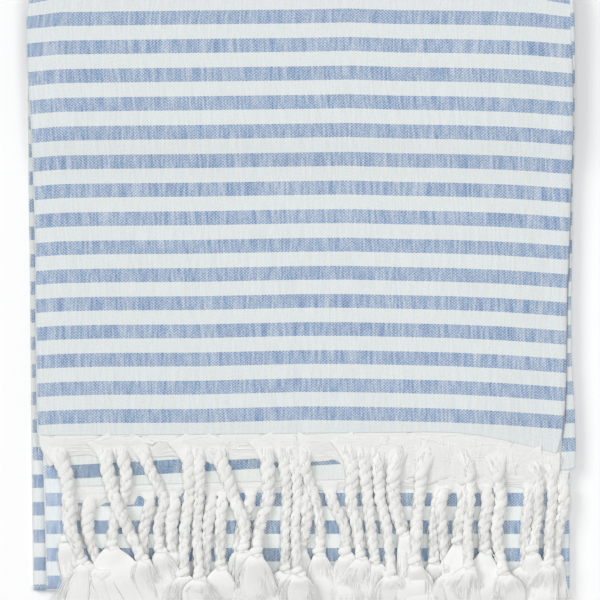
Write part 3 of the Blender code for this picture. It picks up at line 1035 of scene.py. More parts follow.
    def light(self, points: np.ndarray) -> np.ndarray:
        """Light painted into the cloth's colour: painted shade in the crease beside the lip, brighter on the
        lower panels.

        Args:
            points: the grid, shaped (rows, columns, 3).

        Returns:
            The share of light at each point.
        """
        share = np.ones(points.shape[:2])
        top = self.panel_steps[Panel.TOP]
        share[top + self.panel_steps[Panel.BACK_FOLD]:] = self.lower_light
        for crease in CREASE_SHADES:
            column = self.outer_steps + crease.nose_point
            y = points[:top, column, 1]
            fade = smooth_step(y, *self.crease_far) * smooth_step(y, *self.crease_near)
            share[:top, column] = 1.0 - (1.0 - crease.tone) * fade
        return share

    def build(self, finish: bpy.types.Material) -> bpy.types.Object:
        """Fold a flat grid into the towel, count its threads and give it its thickness.

        Args:
            finish: the cloth's material.

        Returns:
            The finished piece.
        """
        laid = [self.row(panel, share) for panel, share in self.stations()]
        points = np.stack([row[0] for row in laid])
        bands = np.stack([row[1] for row in laid])
        rows, columns, _ = points.shape
        steps = np.linalg.norm(np.diff(points[:, :, [0, 2]], axis=1), axis=2)
        threads = np.concatenate([np.zeros((rows, 1)), np.cumsum(steps, axis=1)], axis=1) / self.warp_pitch

        bpy.ops.object.select_all(action="DESELECT")
        bpy.ops.mesh.primitive_grid_add(x_subdivisions=columns - 1, y_subdivisions=rows - 1, size=2.0)
        cloth = bpy.context.object
        cloth.name = "towel_sheet"
        mesh = cloth.data
        mesh.name = "towel_sheet"
        flat = np.empty(len(mesh.vertices) * 3)
        mesh.vertices.foreach_get("co", flat)
        flat = (flat.reshape(-1, 3) + 1.0) / 2.0
        column = np.rint(flat[:, 0] * (columns - 1)).astype(int)
        row = np.rint(flat[:, 1] * (rows - 1)).astype(int)
        mesh.vertices.foreach_set("co", (points[row, column] * MM).ravel())
        corners = np.empty(len(mesh.loops), int)
        mesh.loops.foreach_get("vertex_index", corners)
        while mesh.uv_layers:
            mesh.uv_layers.remove(mesh.uv_layers[0])
        counted = np.stack([threads[row, column], bands[row, column] * PICKS_A_REPEAT], -1)
        mesh.uv_layers.new(name="threads").data.foreach_set("uv", counted[corners].ravel())
        # Painted shade in deep, and painted light and shade in light, for the material to read.
        deep = self.deep(points)
        light = self.light(points) + deep * self.deep_light
        store_values(mesh, "light", light[row, column])
        store_values(mesh, "deep", deep[row, column])
        mesh.update()
        mesh.shade_smooth()
        mesh.materials.append(finish)
        apply_modifier(cloth, "SOLIDIFY", thickness=self.thickness * MM, offset=0.0, use_even_offset=False)
        return cloth


# ---------------------------------------------------------------------------------------------
# Yarns
# ---------------------------------------------------------------------------------------------

@dataclass
class YarnBundle:
    """Collects tubes of yarn and turns them into one mesh."""

    points: list[np.ndarray] = field(default_factory=list)
    faces: list[np.ndarray] = field(default_factory=list)
    caps: list[list[int]] = field(default_factory=list)
    uvs: list[np.ndarray] = field(default_factory=list)
    cap_uvs: list[np.ndarray] = field(default_factory=list)
    tones: list[np.ndarray] = field(default_factory=list)
    lights: list[np.ndarray] = field(default_factory=list)
    total: int = 0
    # Painted light and shade on squashed tubes: side_light less crown_shade times the height in the section.
    side_light: float = 1.035
    crown_shade: float = 0.11
    skin_thickness: float = 0.35
    groove_shares: tuple[float, ...] = (1.0, 0.62, 0.31)
    groove_drift: float = 1.2
    lens: Span = (0.85, 1.4)
    combed_swell: float = 0.04

    def add(self, paths: np.ndarray, radii: np.ndarray, sides: int, tones: np.ndarray,
            squash: tuple[np.ndarray, float] | None = None, lights: np.ndarray | None = None) -> None:
        """Add tubes that all have the same number of points.

        Args:
            paths: centre lines, shaped (tubes, points, 3), in mm.
            radii: their radii, shaped (tubes, points).
            sides: sides of the section.
            tones: a tone from 0 to 1 for each tube.
            squash: a level for each point, and the share of height above and below it that is kept. A
                squashed tube is also painted darker on top and lighter underneath.
            lights: share of light at each point, shaped (tubes, points).
        """
        tubes, count, _ = paths.shape
        tangent = np.gradient(paths, axis=1)
        tangent /= np.linalg.norm(tangent, axis=2, keepdims=True) + TINY
        across = np.cross(tangent[:, 0], (0.0, 0.0, 1.0))
        across /= np.linalg.norm(across, axis=1, keepdims=True) + TINY
        frames = [across]
        for step in range(1, count):
            facing = tangent[:, step]
            across = frames[-1] - facing * np.sum(frames[-1] * facing, axis=1, keepdims=True)
            frames.append(across / (np.linalg.norm(across, axis=1, keepdims=True) + TINY))
        side = np.stack(frames, 1)
        up = np.cross(tangent, side)
        angle = np.arange(sides) * 2.0 * math.pi / sides
        ring = (side[:, :, None] * np.cos(angle)[:, None] + up[:, :, None] * np.sin(angle)[:, None])
        verts = paths[:, :, None] + ring * radii[:, :, None, None]
        if squash is not None:
            level = squash[0][:, :, None] if squash[0].ndim == 2 else squash[0][None, :, None]
            verts[..., 2] = level + (verts[..., 2] - level) * squash[1]
        around = np.arange(sides + 1) / sides * 2.0 * math.pi * float(np.mean(radii))
        shades = np.repeat((np.ones((tubes, count)) if lights is None else lights).ravel(), sides)
        # Painted shade on top, painted light underneath.
        if squash is not None:
            rise = (verts[..., 2] - level) / (np.abs(verts[..., 2] - level).max() + TINY)
            shades = shades * (self.side_light - self.crown_shade * rise.ravel())
        self.keep(verts, around, run_length(paths), np.repeat(tones, count * sides), shades)

    def keep(self, verts: np.ndarray, around: np.ndarray, along: np.ndarray, tones: np.ndarray,
             lights: np.ndarray) -> None:
        """Keep tubes whose points are known, with their faces, ends and yarn coordinates.

        Args:
            verts: their points, shaped (tubes, points, sides, 3), in mm.
            around: places round the section, one more than it has sides.
            along: places along the tubes, shaped (tubes, points).
            tones: the tone of every point.
            lights: the share of light of every point.
        """
        tubes, count, sides, _ = verts.shape
        index = np.arange(tubes * count * sides).reshape(tubes, count, sides) + self.total
        after = np.roll(index, -1, axis=2)
        quads = np.stack([index[:, :-1], after[:, :-1], after[:, 1:], index[:, 1:]], -1)
        shape = (tubes, count, sides + 1)
        grid = np.stack([np.broadcast_to(around, shape), np.broadcast_to(along[:, :, None], shape)], -1)
        uv = np.stack([grid[:, :-1, :-1], grid[:, :-1, 1:], grid[:, 1:, 1:], grid[:, 1:, :-1]], 3)
        self.points.append(verts.reshape(-1, 3))
        self.faces.append(quads.reshape(-1, 4))
        self.uvs.append(uv.reshape(-1, 2))
        for tube in range(tubes):
            self.caps.append([int(item) for item in index[tube, 0, ::-1]])
            self.caps.append([int(item) for item in index[tube, -1]])
            self.cap_uvs.append(grid[tube, 0, :sides][::-1])
            self.cap_uvs.append(grid[tube, -1, :sides])
        self.tones.append(tones)
        self.lights.append(lights)
        self.total += tubes * count * sides

    def add_combed(self, path: np.ndarray, wide: np.ndarray, high: np.ndarray, sides: int, grooves: int,
                   depth: float, tone: float, random: np.random.RandomState, light: float = 1.0) -> None:
        """Add one body of many parallel fibres, with fine grooves that run along it.

        Args:
            path: its centre line, shaped (points, 3), in mm.
            wide: half its width at each point.
            high: half its height at each point.
            sides: sides of the section.
            grooves: about how many grooves it has round it.
            depth: their depth as a share of its size.
            tone: its tone.
            random: the source of its unevenness.
            light: its share of light.
        """
        count = len(path)
        heading = np.gradient(path, axis=0)
        side = np.stack([heading[:, 1], -heading[:, 0], np.zeros(count)], -1)
        side /= np.linalg.norm(side, axis=1, keepdims=True)
        angle = np.arange(sides) * 2.0 * math.pi / sides
        share = np.linspace(0.0, 1.0, count)[:, None]
        wave = np.zeros((count, sides))
        for groove_share in self.groove_shares:
            phase = random.uniform(0.0, FULL_TURN) + share * random.uniform(-self.groove_drift,
                                                                            self.groove_drift)
            wave += random.uniform(0.5, 1.0) * np.cos(int(grooves * groove_share) * angle[None] + phase)
        place = np.stack(np.broadcast_arrays(share * 6.0, 2.0 * np.cos(angle)[None]), -1)
        swell = 1.0 + depth * wave + self.combed_swell * value_noise(place, int(random.randint(1000)))
        flat_x = np.sign(np.cos(angle)) * np.abs(np.cos(angle)) ** self.lens[0]
        lens_z = np.sign(np.sin(angle)) * np.abs(np.sin(angle)) ** self.lens[1]
        verts = (path[:, None] + side[:, None] * (flat_x[None] * swell * wide[:, None])[..., None])
        verts[..., 2] += lens_z[None] * swell * high[:, None]
        around = np.arange(sides + 1) / sides * 4.0 * float(np.mean(wide))
        self.keep(verts[None], around, run_length(path)[None], np.full(count * sides, tone),
                  np.full(count * sides, light))

    def add_surface(self, grid: np.ndarray, uv: np.ndarray, tone: float, lights: np.ndarray) -> None:
        """Add a closed skin: a grid of points and the same grid a little lower, joined at the rim.

        Args:
            grid: points in mm, shaped (rows, columns, 3), seen from above with rows running to -Y.
            uv: yarn coordinates of the points, in mm.
            tone: the skin's tone.
            lights: share of light at each point.
        """
        rows, columns, _ = grid.shape
        under = grid - (0.0, 0.0, self.skin_thickness)
        size = rows * columns
        index = np.arange(size).reshape(rows, columns) + self.total
        below = index + size
        upper = np.stack([index[1:, :-1], index[1:, 1:], index[:-1, 1:], index[:-1, :-1]], -1).reshape(-1, 4)
        lower = np.stack([below[:-1, :-1], below[:-1, 1:], below[1:, 1:], below[1:, :-1]], -1).reshape(-1, 4)
        edges = (index[0, :-1], index[0, 1:]), (index[-1, 1:], index[-1, :-1]), (
            index[1:, 0], index[:-1, 0]), (index[:-1, -1], index[1:, -1])
        rim = [np.stack([start, end, end + size, start + size], -1) for start, end in edges]
        quads = np.concatenate([upper, lower, *rim])
        both = np.concatenate([uv.reshape(-1, 2), uv.reshape(-1, 2)])
        self.points.append(np.concatenate([grid.reshape(-1, 3), under.reshape(-1, 3)]))
        self.faces.append(quads)
        self.uvs.append(both[(quads - self.total).ravel()])
        self.tones.append(np.full(size * 2, tone))
        self.lights.append(np.concatenate([lights.ravel(), lights.ravel()]))
        self.total += size * 2

    def build(self, name: str, finish: bpy.types.Material) -> bpy.types.Object:
        """Make one object of all the tubes.

        Args:
            name: the piece's name.
            finish: its material.

        Returns:
            The piece.
        """
        quads = np.concatenate(self.faces)
        mesh = bpy.data.meshes.new(name)
        mesh.from_pydata((np.concatenate(self.points) * MM).tolist(), [], quads.tolist() + self.caps)
        layer = mesh.uv_layers.new(name="yarn")
        pieces = [np.concatenate(self.uvs)] + ([np.concatenate(self.cap_uvs)] if self.cap_uvs else [])
        layer.data.foreach_set("uv", np.concatenate(pieces).ravel())
        store_values(mesh, "tone", np.concatenate(self.tones))
        store_values(mesh, "light", np.concatenate(self.lights))
        mesh.shade_smooth()
        mesh.materials.append(finish)
        mesh.update()
        piece = bpy.data.objects.new(name, mesh)
        bpy.context.scene.collection.objects.link(piece)
        return piece


class Strand(NamedTuple):
    """Places of one strand across the towel, from its root to the tip of its brush."""

    root: float
    shoulder: float
    middle: float
    lower: float
    knot: float
    knot_y: float
    tip: float
    brush: float
    body: float = 2.5


UPPER_STRANDS = (
    Strand(-115.0, -108.0, -107.0, -106.3, -99.0, -124.0, -104.0, 13.0, 3.3),
    Strand(-84.0, -80.3, -81.8, -86.0, -87.0, -116.5, -76.5, 19.0, 2.8),
    Strand(-90.5, -88.5, -85.3, -80.4, -71.8, -121.5, -66.0, 10.0, 3.1),
    Strand(-75.0, -68.0, -63.0, -65.5, -64.5, -118.5, -59.0, 12.0, 2.6),
    Strand(-53.0, -51.0, -51.3, -53.0, -53.5, -129.5, -55.0, 12.0, 2.9),
    Strand(-47.5, -46.2, -46.6, -47.4, -46.3, -131.0, -44.0, 11.0),
    Strand(-40.5, -34.0, -30.0, -25.6, -26.0, -118.0, -23.5, 9.0, 3.1),
    Strand(-15.5, -14.6, -14.7, -18.4, -20.0, -119.5, -17.0, 12.0, 3.1),
    Strand(-8.5, -6.5, -6.0, -6.5, -6.5, -128.0, -8.0, 13.0),
    Strand(-4.0, -1.5, -1.0, -2.0, -0.5, -129.0, 1.0, 12.0),
    Strand(1.0, 3.5, 7.5, 9.5, 9.0, -119.5, 14.0, 10.5),
    Strand(22.0, 24.5, 23.8, 26.3, 28.8, -122.0, 26.5, 12.5, 3.0),
    Strand(29.0, 30.5, 31.6, 32.9, 35.5, -124.0, 36.5, 12.0, 2.8),
    Strand(35.5, 36.5, 37.5, 40.2, 42.5, -129.5, 43.0, 12.0, 2.8),
    Strand(47.0, 43.5, 43.9, 46.6, 49.0, -110.0, 51.0, 10.0, 3.3),
    Strand(59.5, 56.5, 55.5, 54.3, 53.6, -124.0, 54.5, 11.0, 3.0),
    Strand(75.0, 79.0, 79.0, 78.0, 78.5, -126.0, 77.5, 12.0),
    Strand(90.0, 92.0, 93.4, 91.5, 95.0, -128.5, 96.5, 11.0, 3.1),
    Strand(109.5, 111.0, 110.5, 110.0, 107.5, -118.5, 105.0, 9.0),
    Strand(115.5, 116.5, 117.3, 116.0, 115.2, -125.0, 112.0, 9.0),
)
LOWER_STRANDS = (
    Strand(-107.0, -107.0, -106.0, -106.3, -108.3, -114.0, -98.0, 7.5),
    Strand(-94.0, -94.0, -96.0, -98.4, -91.5, -126.0, -90.0, 12.0, 2.9),
    Strand(-70.0, -70.0, -69.5, -71.8, -72.8, -123.0, -74.0, 13.0),
    Strand(-59.0, -59.0, -58.5, -59.4, -59.0, -118.5, -57.0, 13.0, 2.9),
    Strand(-41.0, -41.0, -41.0, -42.4, -44.0, -130.5, -42.5, 11.0),
    Strand(-35.6, -35.6, -35.8, -36.6, -36.5, -126.0, -36.5, 11.0),
    Strand(-22.6, -22.6, -22.8, -26.8, -28.3, -118.0, -28.0, 10.0),
    Strand(3.5, 3.5, 3.5, 3.0, 0.2, -117.5, -2.0, 9.5),
    Strand(14.0, 14.0, 15.0, 20.5, 21.5, -119.5, 20.0, 12.0),
    Strand(65.5, 65.5, 64.0, 62.3, 62.7, -124.0, 61.0, 12.0),
    Strand(69.0, 69.0, 65.6, 66.0, 68.5, -128.5, 69.5, 12.0),
    Strand(74.0, 74.0, 76.0, 73.4, 74.0, -114.5, 78.0, 11.0),
    Strand(86.0, 86.0, 87.2, 85.6, 86.0, -118.5, 87.0, 15.0, 2.8),
    Strand(106.5, 106.5, 106.5, 105.0, 105.0, -126.0, 101.5, 12.0),
    Strand(121.5, 123.0, 122.8, 120.4, 118.3, -121.5, 119.5, 6.5, 2.6),
)
UPPER_DEPTHS = (Depth(-121.0, 6.0), Depth(-117.0, 12.0), Depth(-112.0, 11.0), Depth(-100.0, 9.2),
                Depth(-60.0, 10.0), Depth(-44.0, 11.4), Depth(-17.0, 11.6), Depth(5.0, 12.4),
                Depth(20.0, 13.2), Depth(30.0, 15.5), Depth(37.0, 21.0), Depth(60.0, 22.0),
                Depth(90.0, 20.0), Depth(121.2, 15.0))
LOWER_DEPTHS = (Depth(-109.0, 7.4), Depth(-92.0, 7.6), Depth(-82.0, 8.8), Depth(-78.0, 8.8),
                Depth(-76.0, 4.6), Depth(-30.0, 4.0), Depth(20.0, 4.4), Depth(60.0, 5.6), Depth(125.0, 6.6))
SHOULDER_Y = -84.0
MIDDLE_Y = -95.5
LOWER_Y = -107.0
TIP_Y = -145.4


@dataclass
class Ground:
    """Heights of what already lies there, on which each strand is laid in turn."""

    cell: float = 0.5
    left: float = -140.0
    near: float = -160.0
    width: float = 280.0
    depth: float = 310.0
    slope: float = 0.5
    upper: float = 6.9
    lower: float = 5.4
    front: float = -137.5
    front_reach: float = 8.0
    droop: float = 2.6
    hem: Span = (-1.5, 0.5)
    panel: Span = (-111.0, 127.0)
    middle_x: float = 2.0
    outside: Span = (124.0, 131.0)
    outside_fall: float = 3.5
    probes: int = 7
    probe_reach: float = 0.8
    smoothing: int = 9
    crown_steps: int = 17
    heights: np.ndarray = field(default_factory=lambda: np.zeros((1, 1)))

    def spread_cloth(self) -> None:
        """Start from the cloth under the fringe: the inner half, the tucked panel and the front fold."""
        xs = self.left + self.cell * np.arange(int(self.width / self.cell))
        ys = self.near + self.cell * np.arange(int(self.depth / self.cell))
        x, y = np.meshgrid(xs, ys, indexing="ij")
        edge = top_end(x, True)
        step = smooth_step(y, edge + self.hem[0], edge + self.hem[1])
        step = step * (x > self.panel[0]) * (x < self.panel[1])
        fall = self.droop * smooth_step(-y, -self.front, -self.front + self.front_reach)
        self.heights = self.lower + (self.upper - self.lower) * step - fall
        self.heights -= self.outside_fall * smooth_step(np.abs(x - self.middle_x), *self.outside)

    def index(self, x: np.ndarray, y: np.ndarray) -> tuple[np.ndarray, np.ndarray]:
        """Find the cells that hold some places.

        Args:
            x: the places' X.
            y: the places' Y.

        Returns:
            The cells' columns and rows.
        """
        column = np.clip(np.rint((x - self.left) / self.cell), 0, self.heights.shape[0] - 1).astype(int)
        row = np.clip(np.rint((y - self.near) / self.cell), 0, self.heights.shape[1] - 1).astype(int)
        return column, row

    def read(self, x: np.ndarray, y: np.ndarray) -> np.ndarray:
        """Height at those places."""
        return self.heights[self.index(x, y)]

    def settle(self, x: np.ndarray, y: np.ndarray, half: np.ndarray, ease: float = 1.0) -> np.ndarray:
        """Level of a strand's underside along its path, bridging what it can't follow.

        Args:
            x: the path's X.
            y: the path's Y.
            half: half the strand's width along it.
            ease: share of the full slope at which the strand climbs.

        Returns:
            The level at each point.
        """
        reach = np.linspace(-self.probe_reach, self.probe_reach, self.probes)[:, None]
        floor = self.read(x[None] + reach * half[None], np.broadcast_to(y, (self.probes, len(y)))).max(axis=0)
        step = np.hypot(np.diff(x), np.diff(y))
        level = floor.copy()
        for k in range(1, len(level)):
            level[k] = max(level[k], level[k - 1] - self.slope * step[k - 1])
        for k in range(len(level) - 2, -1, -1):
            level[k] = max(level[k], level[k + 1] - self.slope * ease * step[k])
        kernel = np.hanning(self.smoothing)[1:-1]
        padded = np.pad(level, len(kernel) // 2, mode="edge")
        return np.convolve(padded, kernel / kernel.sum(), mode="valid")

    def stamp(self, x: np.ndarray, y: np.ndarray, half: np.ndarray, top: np.ndarray,
              under: np.ndarray) -> None:
        """Add a strand's upper side to the heights.

        Args:
            x: its path's X.
            y: its path's Y.
            half: half its width along the path.
            top: the level of its crown.
            under: the level of its sides.
        """
        for share in np.linspace(-1.0, 1.0, self.crown_steps):
            column, row = self.index(x + share * half, y)
            crown = under + (top - under) * math.sqrt(max(0.0, 1.0 - share * share))
            np.maximum.at(self.heights, (column, row), crown)


class Wrap(NamedTuple):
    """One turn of a knot: the angle it starts at, its laps and its shift along the cord."""

    begin: float
    laps: float
    shift: float


class LaidCord(NamedTuple):
    """A cord's path on the ground, with half its width at each point."""

    x: np.ndarray
    y: np.ndarray
    z: np.ndarray
    half: np.ndarray


class Brush(NamedTuple):
    """A cord's loose end: the lobes' centre lines, half their width and height, and loose yarns."""

    lobes: np.ndarray
    wide: np.ndarray
    high: np.ndarray
    yarns: np.ndarray


@dataclass
class FringeRow:
    """One row of cords along an end of one half of the cloth, with its heading."""

    name: str
    strands: tuple[Strand, ...]
    inner: bool
    left: float
    right: float
    depths: tuple[Depth, ...]
    seed: int
    surface: Callable[[Any], Any]
    rest: float
    droop: float = 0.0
    notches: tuple[float, ...] = ()
    cord_half: float = 2.5
    ply_radius: float = 1.68
    ply_orbit: float = 0.80
    core_radius: float = 1.98
    twist_pitch: float = 8.6
    twist_drift: float = 9.0
    flatness: float = 0.57
    knot_half: float = 3.4
    fuzz: int = 100
    fuzz_radius: float = 0.11
    ring_step: float = 0.62
    loose_yarns: int = 52
    pick_step: float = 3.2
    warp_step: float = 2.2
    gather_reach: float = 9.0
    gather_length: float = 12.5
    shoulder_room: float = 3.0
    knot_room: float = 5.0
    root_depth: float = 4.0
    root_sink: float = 1.9
    root_blend: float = 11.0
    crown: float = 0.92
    knot_width: float = 1.35
    knot_height: float = 1.1
    emerge_least: float = 4.5
    emerge_before: float = 5.5
    ply_sides: int = 10
    core_sides: int = 8
    fuzz_points: int = 4
    knot_sides: int = 9
    knot_points: int = 34
    knot_wraps: tuple[Wrap, ...] = (Wrap(0.2, 1.25, -0.5), Wrap(3.4, 1.0, 0.9))
    brush_points: int = 18
    brush_start: float = 1.6
    brush_ends: Span = (0.2, 1.6)
    brush_bend: float = 1.8
    brush_neck: float = 3.0
    brush_share: float = 0.70
    brush_height: float = 1.10
    brush_thinning: float = 0.72
    brush_climb: float = 0.45
    brush_lift: float = 0.95
    lobe_places: tuple[float, ...] = (-1.0, 1.0, 0.0)
    lobe_apart: float = 0.48
    lobe_share: float = 0.62
    lobe_room: float = 0.6
    lobe_sides: int = 32
    lobe_depth: float = 0.016
    lobe_light: float = 0.985
    loose_points: int = 7
    loose_spread: float = 1.25
    loose_begin: float = 0.55
    loose_stray: float = 3.0
    loose_sink: float = 0.22
    grooves: int = 13
    skin_step: float = 0.6
    skin_rows: int = 18
    skin_tone: float = 0.30
    skin_light: float = 0.90
    skin_hang: float = 3.0
    notch_depth: float = 1.1
    gather_points: int = 18
    gather_sides: int = 36
    gather_depth: float = 0.018
    gather_light: float = 0.93
    gather_ends: int = 14
    gather_end_points: int = 8
    gather_least: float = 0.12
    pick_points: int = 15
    warp_points: int = 12
    laid: list[LaidCord] = field(default_factory=list)
    brushes: list[Brush] = field(default_factory=list)

    def path(self, strand: Strand, edge: float) -> tuple[np.ndarray, np.ndarray]:
        """Follow a strand from its heading to its knot on a smooth curve.

        Args:
            strand: its places.
            edge: Y of the cloth's end at its root.

        Returns:
            X and Y at even steps.
        """
        ys = [edge - self.root_depth, SHOULDER_Y, MIDDLE_Y, LOWER_Y, strand.knot_y - self.knot_half]
        xs = [strand.root, strand.shoulder, strand.middle, strand.lower, strand.knot]
        if ys[0] < SHOULDER_Y + self.shoulder_room:
            del ys[1], xs[1]
        if strand.knot_y > LOWER_Y - self.knot_room:
            spot = ys.index(LOWER_Y)
            del ys[spot], xs[spot]
        ys, xs = np.array(ys), np.array(xs)
        slopes = np.gradient(xs, ys)
        count = int((ys[0] - ys[-1]) / self.ring_step) + 1
        y = np.linspace(ys[0], ys[-1], count)
        piece = np.clip(np.searchsorted(-ys, -y, side="right") - 1, 0, len(ys) - 2)
        span = ys[piece + 1] - ys[piece]
        t = (y - ys[piece]) / span
        t2, t3 = t * t, t * t * t
        x = (xs[piece] * (2 * t3 - 3 * t2 + 1) + slopes[piece] * span * (t3 - 2 * t2 + t)
             + xs[piece + 1] * (3 * t2 - 2 * t3) + slopes[piece + 1] * span * (t3 - t2))
        return x, y

    def lay(self, ground: Ground) -> None:
        """Lay every strand of the row on the ground, in the order of its table.

        Args:
            ground: the heights of what already lies there. Each strand is added to them.
        """
        for number, strand in enumerate(self.strands):
            edge = float(top_end(strand.root, self.inner))
            x, y = self.path(strand, edge)
            half = self.cord_half + (strand.body - self.cord_half) * smooth_step(y, strand.knot_y, LOWER_Y)
            under = ground.settle(x, y, half)
            blend = smooth_step(y, edge - self.root_blend, edge - self.root_depth)
            start = float(self.surface(strand.root)) - self.root_sink * half * self.flatness
            under = under * (1 - blend) + start * blend
            height = 2 * half * self.flatness
            self.laid.append(LaidCord(x, y, under + height / 2, half))
            ground.stamp(x, y, half, under + height * self.crown, under)
            knot = slice(-int(self.knot_half * 2 / self.ring_step), None)
            ground.stamp(x[knot], y[knot], half[knot] * self.knot_width,
                         under[knot] + height[knot] * self.knot_height, under[knot])
            self.brushes.append(self.brush(strand, x[-1], y[-1], float(under[-1]), ground, number))

    def brush(self, strand: Strand, x: float, y: float, under: float, ground: Ground,
              number: int) -> Brush:
        """Comb a strand's loose end out into a brush that lies on the ground.

        Args:
            strand: the strand's places.
            x: X of the end of its knot, in mm.
            y: Y of the end of its knot.
            under: the level under the knot.
            ground: what it lies on.
            number: its number in the row.

        Returns:
            The brush.
        """
        random = np.random.RandomState(self.seed * 100 + number)
        part = np.linspace(0.0, 1.0, self.brush_points)
        end_y = TIP_Y + random.uniform(*self.brush_ends)
        begin_y = y + self.brush_start
        line_y = begin_y + (end_y - y - self.brush_start) * part
        bend = random.uniform(-self.brush_bend, self.brush_bend)
        line_x = x + (strand.tip - x) * part ** 1.2 + bend * np.sin(part * math.pi)
        flare = 0.35 * part + 0.65 * np.sin(np.minimum(1.0, part * 2.0) * math.pi / 2)
        wide = self.brush_neck + (strand.brush * self.brush_share - self.brush_neck) * flare
        neck = 0.60 + 0.40 * smooth_step(part, 0.0, 0.10)
        high = (self.brush_height - self.brush_thinning * smooth_step(part, 0.0, 0.45)) * neck
        level = ground.settle(line_x, line_y, wide * 0.6, self.brush_climb)
        start = smooth_step(part, 0.25, 0.0)
        line_z = level * (1 - start) + np.maximum(level, under) * start + high * self.brush_lift
        ground.stamp(line_x, line_y, wide * 0.96, line_z + high * 0.5, line_z - high * 0.5)

        count = self.loose_yarns
        share = np.linspace(0.0, 1.0, self.loose_points)[None]
        spread = random.uniform(-self.loose_spread, self.loose_spread, count)[:, None]
        begin = random.uniform(0.0, self.loose_begin, count)[:, None]
        place = begin + (1.0 + random.uniform(-0.04, 0.08, (count, 1)) - begin) * share
        px = np.interp(place, part, line_x)
        pw = np.interp(place, part, wide)
        ph = np.interp(place, part, high)
        pz = np.interp(place, part, line_z)
        py = begin_y + (end_y - y - self.brush_start) * place
        stray = random.uniform(-1.0, 1.0, (count, 1)) * np.square(share) * self.loose_stray
        over = np.sqrt(np.clip(1.0 - np.square(spread * 0.96), 0.0, 1.0))
        sink = self.loose_sink * np.square(1.0 - 2.0 * share)
        yarns = np.stack([px + spread * pw * 0.97 + stray, py, pz + over * ph + 0.04 - sink], -1)
        lobes = []
        for lobe in self.lobe_places:
            sway = random.uniform(-0.9, 0.9) * np.sin(part * random.uniform(2.0, 5.0))
            lobe_x = line_x + lobe * self.lobe_apart * (wide - 2.0) + sway
            lobe_z = line_z + random.uniform(-0.25, 0.10) + 0.18 * (lobe == 0.0)
            lobes.append(np.stack([lobe_x, line_y + random.uniform(-0.4, 0.8), lobe_z], -1))
        return Brush(np.stack(lobes), self.lobe_share * wide + self.lobe_room, high, yarns)

    def cord_tubes(self, bundle: YarnBundle, laid: LaidCord, random: np.random.RandomState) -> None:
        """Twist the two plies of a cord round its path, and tie the knot at its end.

        Args:
            bundle: where the tubes are collected.
            laid: the cord's laid path.
            random: the source of its unevenness.
        """
        x, y, z = laid.x, laid.y, laid.z
        centre = np.stack([x, y, z], -1)
        tangent = np.gradient(centre, axis=0)
        tangent /= np.linalg.norm(tangent, axis=1, keepdims=True)
        side = np.cross(tangent, (0.0, 0.0, 1.0))
        side /= np.linalg.norm(side, axis=1, keepdims=True)
        up = np.cross(side, tangent)
        length = run_length(centre)
        pitch = self.twist_pitch * random.uniform(0.92, 1.1)
        drift = 0.5 * np.sin(length / self.twist_drift + random.uniform(0.0, FULL_TURN))
        phase = random.uniform(0.0, 2 * math.pi)
        tight = smooth_step(length, 4.0, 30.0)
        emerge = max(self.emerge_least, self.gather_span(float(x[0])) - self.emerge_before)
        hidden = (0.25 + 0.75 * smooth_step(length, 0.0, emerge)) * laid.half / self.cord_half
        paths, radii = [], []
        for ply in range(2):
            angle = phase + math.pi * ply - 2 * math.pi * length / pitch + drift
            orbit = self.ply_orbit * (1.22 - 0.22 * tight) * hidden
            aside = side * np.cos(angle)[:, None] + up * np.sin(angle)[:, None]
            paths.append(centre + aside * orbit[:, None])
            uneven = value_noise(np.stack([length / 4.0, np.full_like(length, 3.3 + ply)], -1),
                                 int(random.randint(1000)))
            radii.append(self.ply_radius * (1.0 + 0.10 * uneven) * (1.20 - 0.20 * tight) * hidden)
        paths, radii = np.stack(paths), np.stack(radii)
        # Painted light: each ply is a little lighter on the cord's left side, towards the key light, and
        # darker on its right.
        ply_leftness = np.cos(np.stack([phase + math.pi * ply - 2 * math.pi * length / pitch for ply in range(2)]))
        squash = (z, self.flatness)
        bundle.add(paths, radii, self.ply_sides, random.uniform(0.3, 0.9, 2), squash, 0.97 + 0.03 * ply_leftness)
        bundle.add(centre[None], (self.core_radius * hidden)[None], self.core_sides,
                   random.uniform(0.4, 0.8, 1), squash)
        self.fuzz_tubes(bundle, laid, random)
        self.knot_tubes(bundle, laid, random)

    def fuzz_tubes(self, bundle: YarnBundle, laid: LaidCord, random: np.random.RandomState) -> None:
        """Raise short loose fibres from a cord's surface.

        Args:
            bundle: where the tubes are collected.
            laid: the cord's laid path.
            random: the source of its unevenness.
        """
        each = (self.fuzz, 1)
        steps = np.linspace(0.0, 1.0, self.fuzz_points)[None]
        start = random.uniform(0.03, 0.93, each) * len(laid.x)
        place = start + random.uniform(4.0, 9.0, each) * steps
        order = np.arange(len(laid.x))
        angle = random.uniform(0.0, math.pi, each) + random.uniform(-0.7, 0.7, each) * steps
        half = np.interp(place, order, laid.half)
        reach = half * 0.86 + random.uniform(0.2, 1.0, each) * np.sin(steps * 2.4)
        x = np.interp(place, order, laid.x) + np.cos(angle) * reach
        z = np.interp(place, order, laid.z) + np.sin(angle) * reach * self.flatness
        paths = np.stack([x, np.interp(place, order, laid.y), z], -1)
        radii = np.full((self.fuzz, self.fuzz_points), self.fuzz_radius)
        bundle.add(paths, radii, 3, random.uniform(0.3, 1.0, self.fuzz))

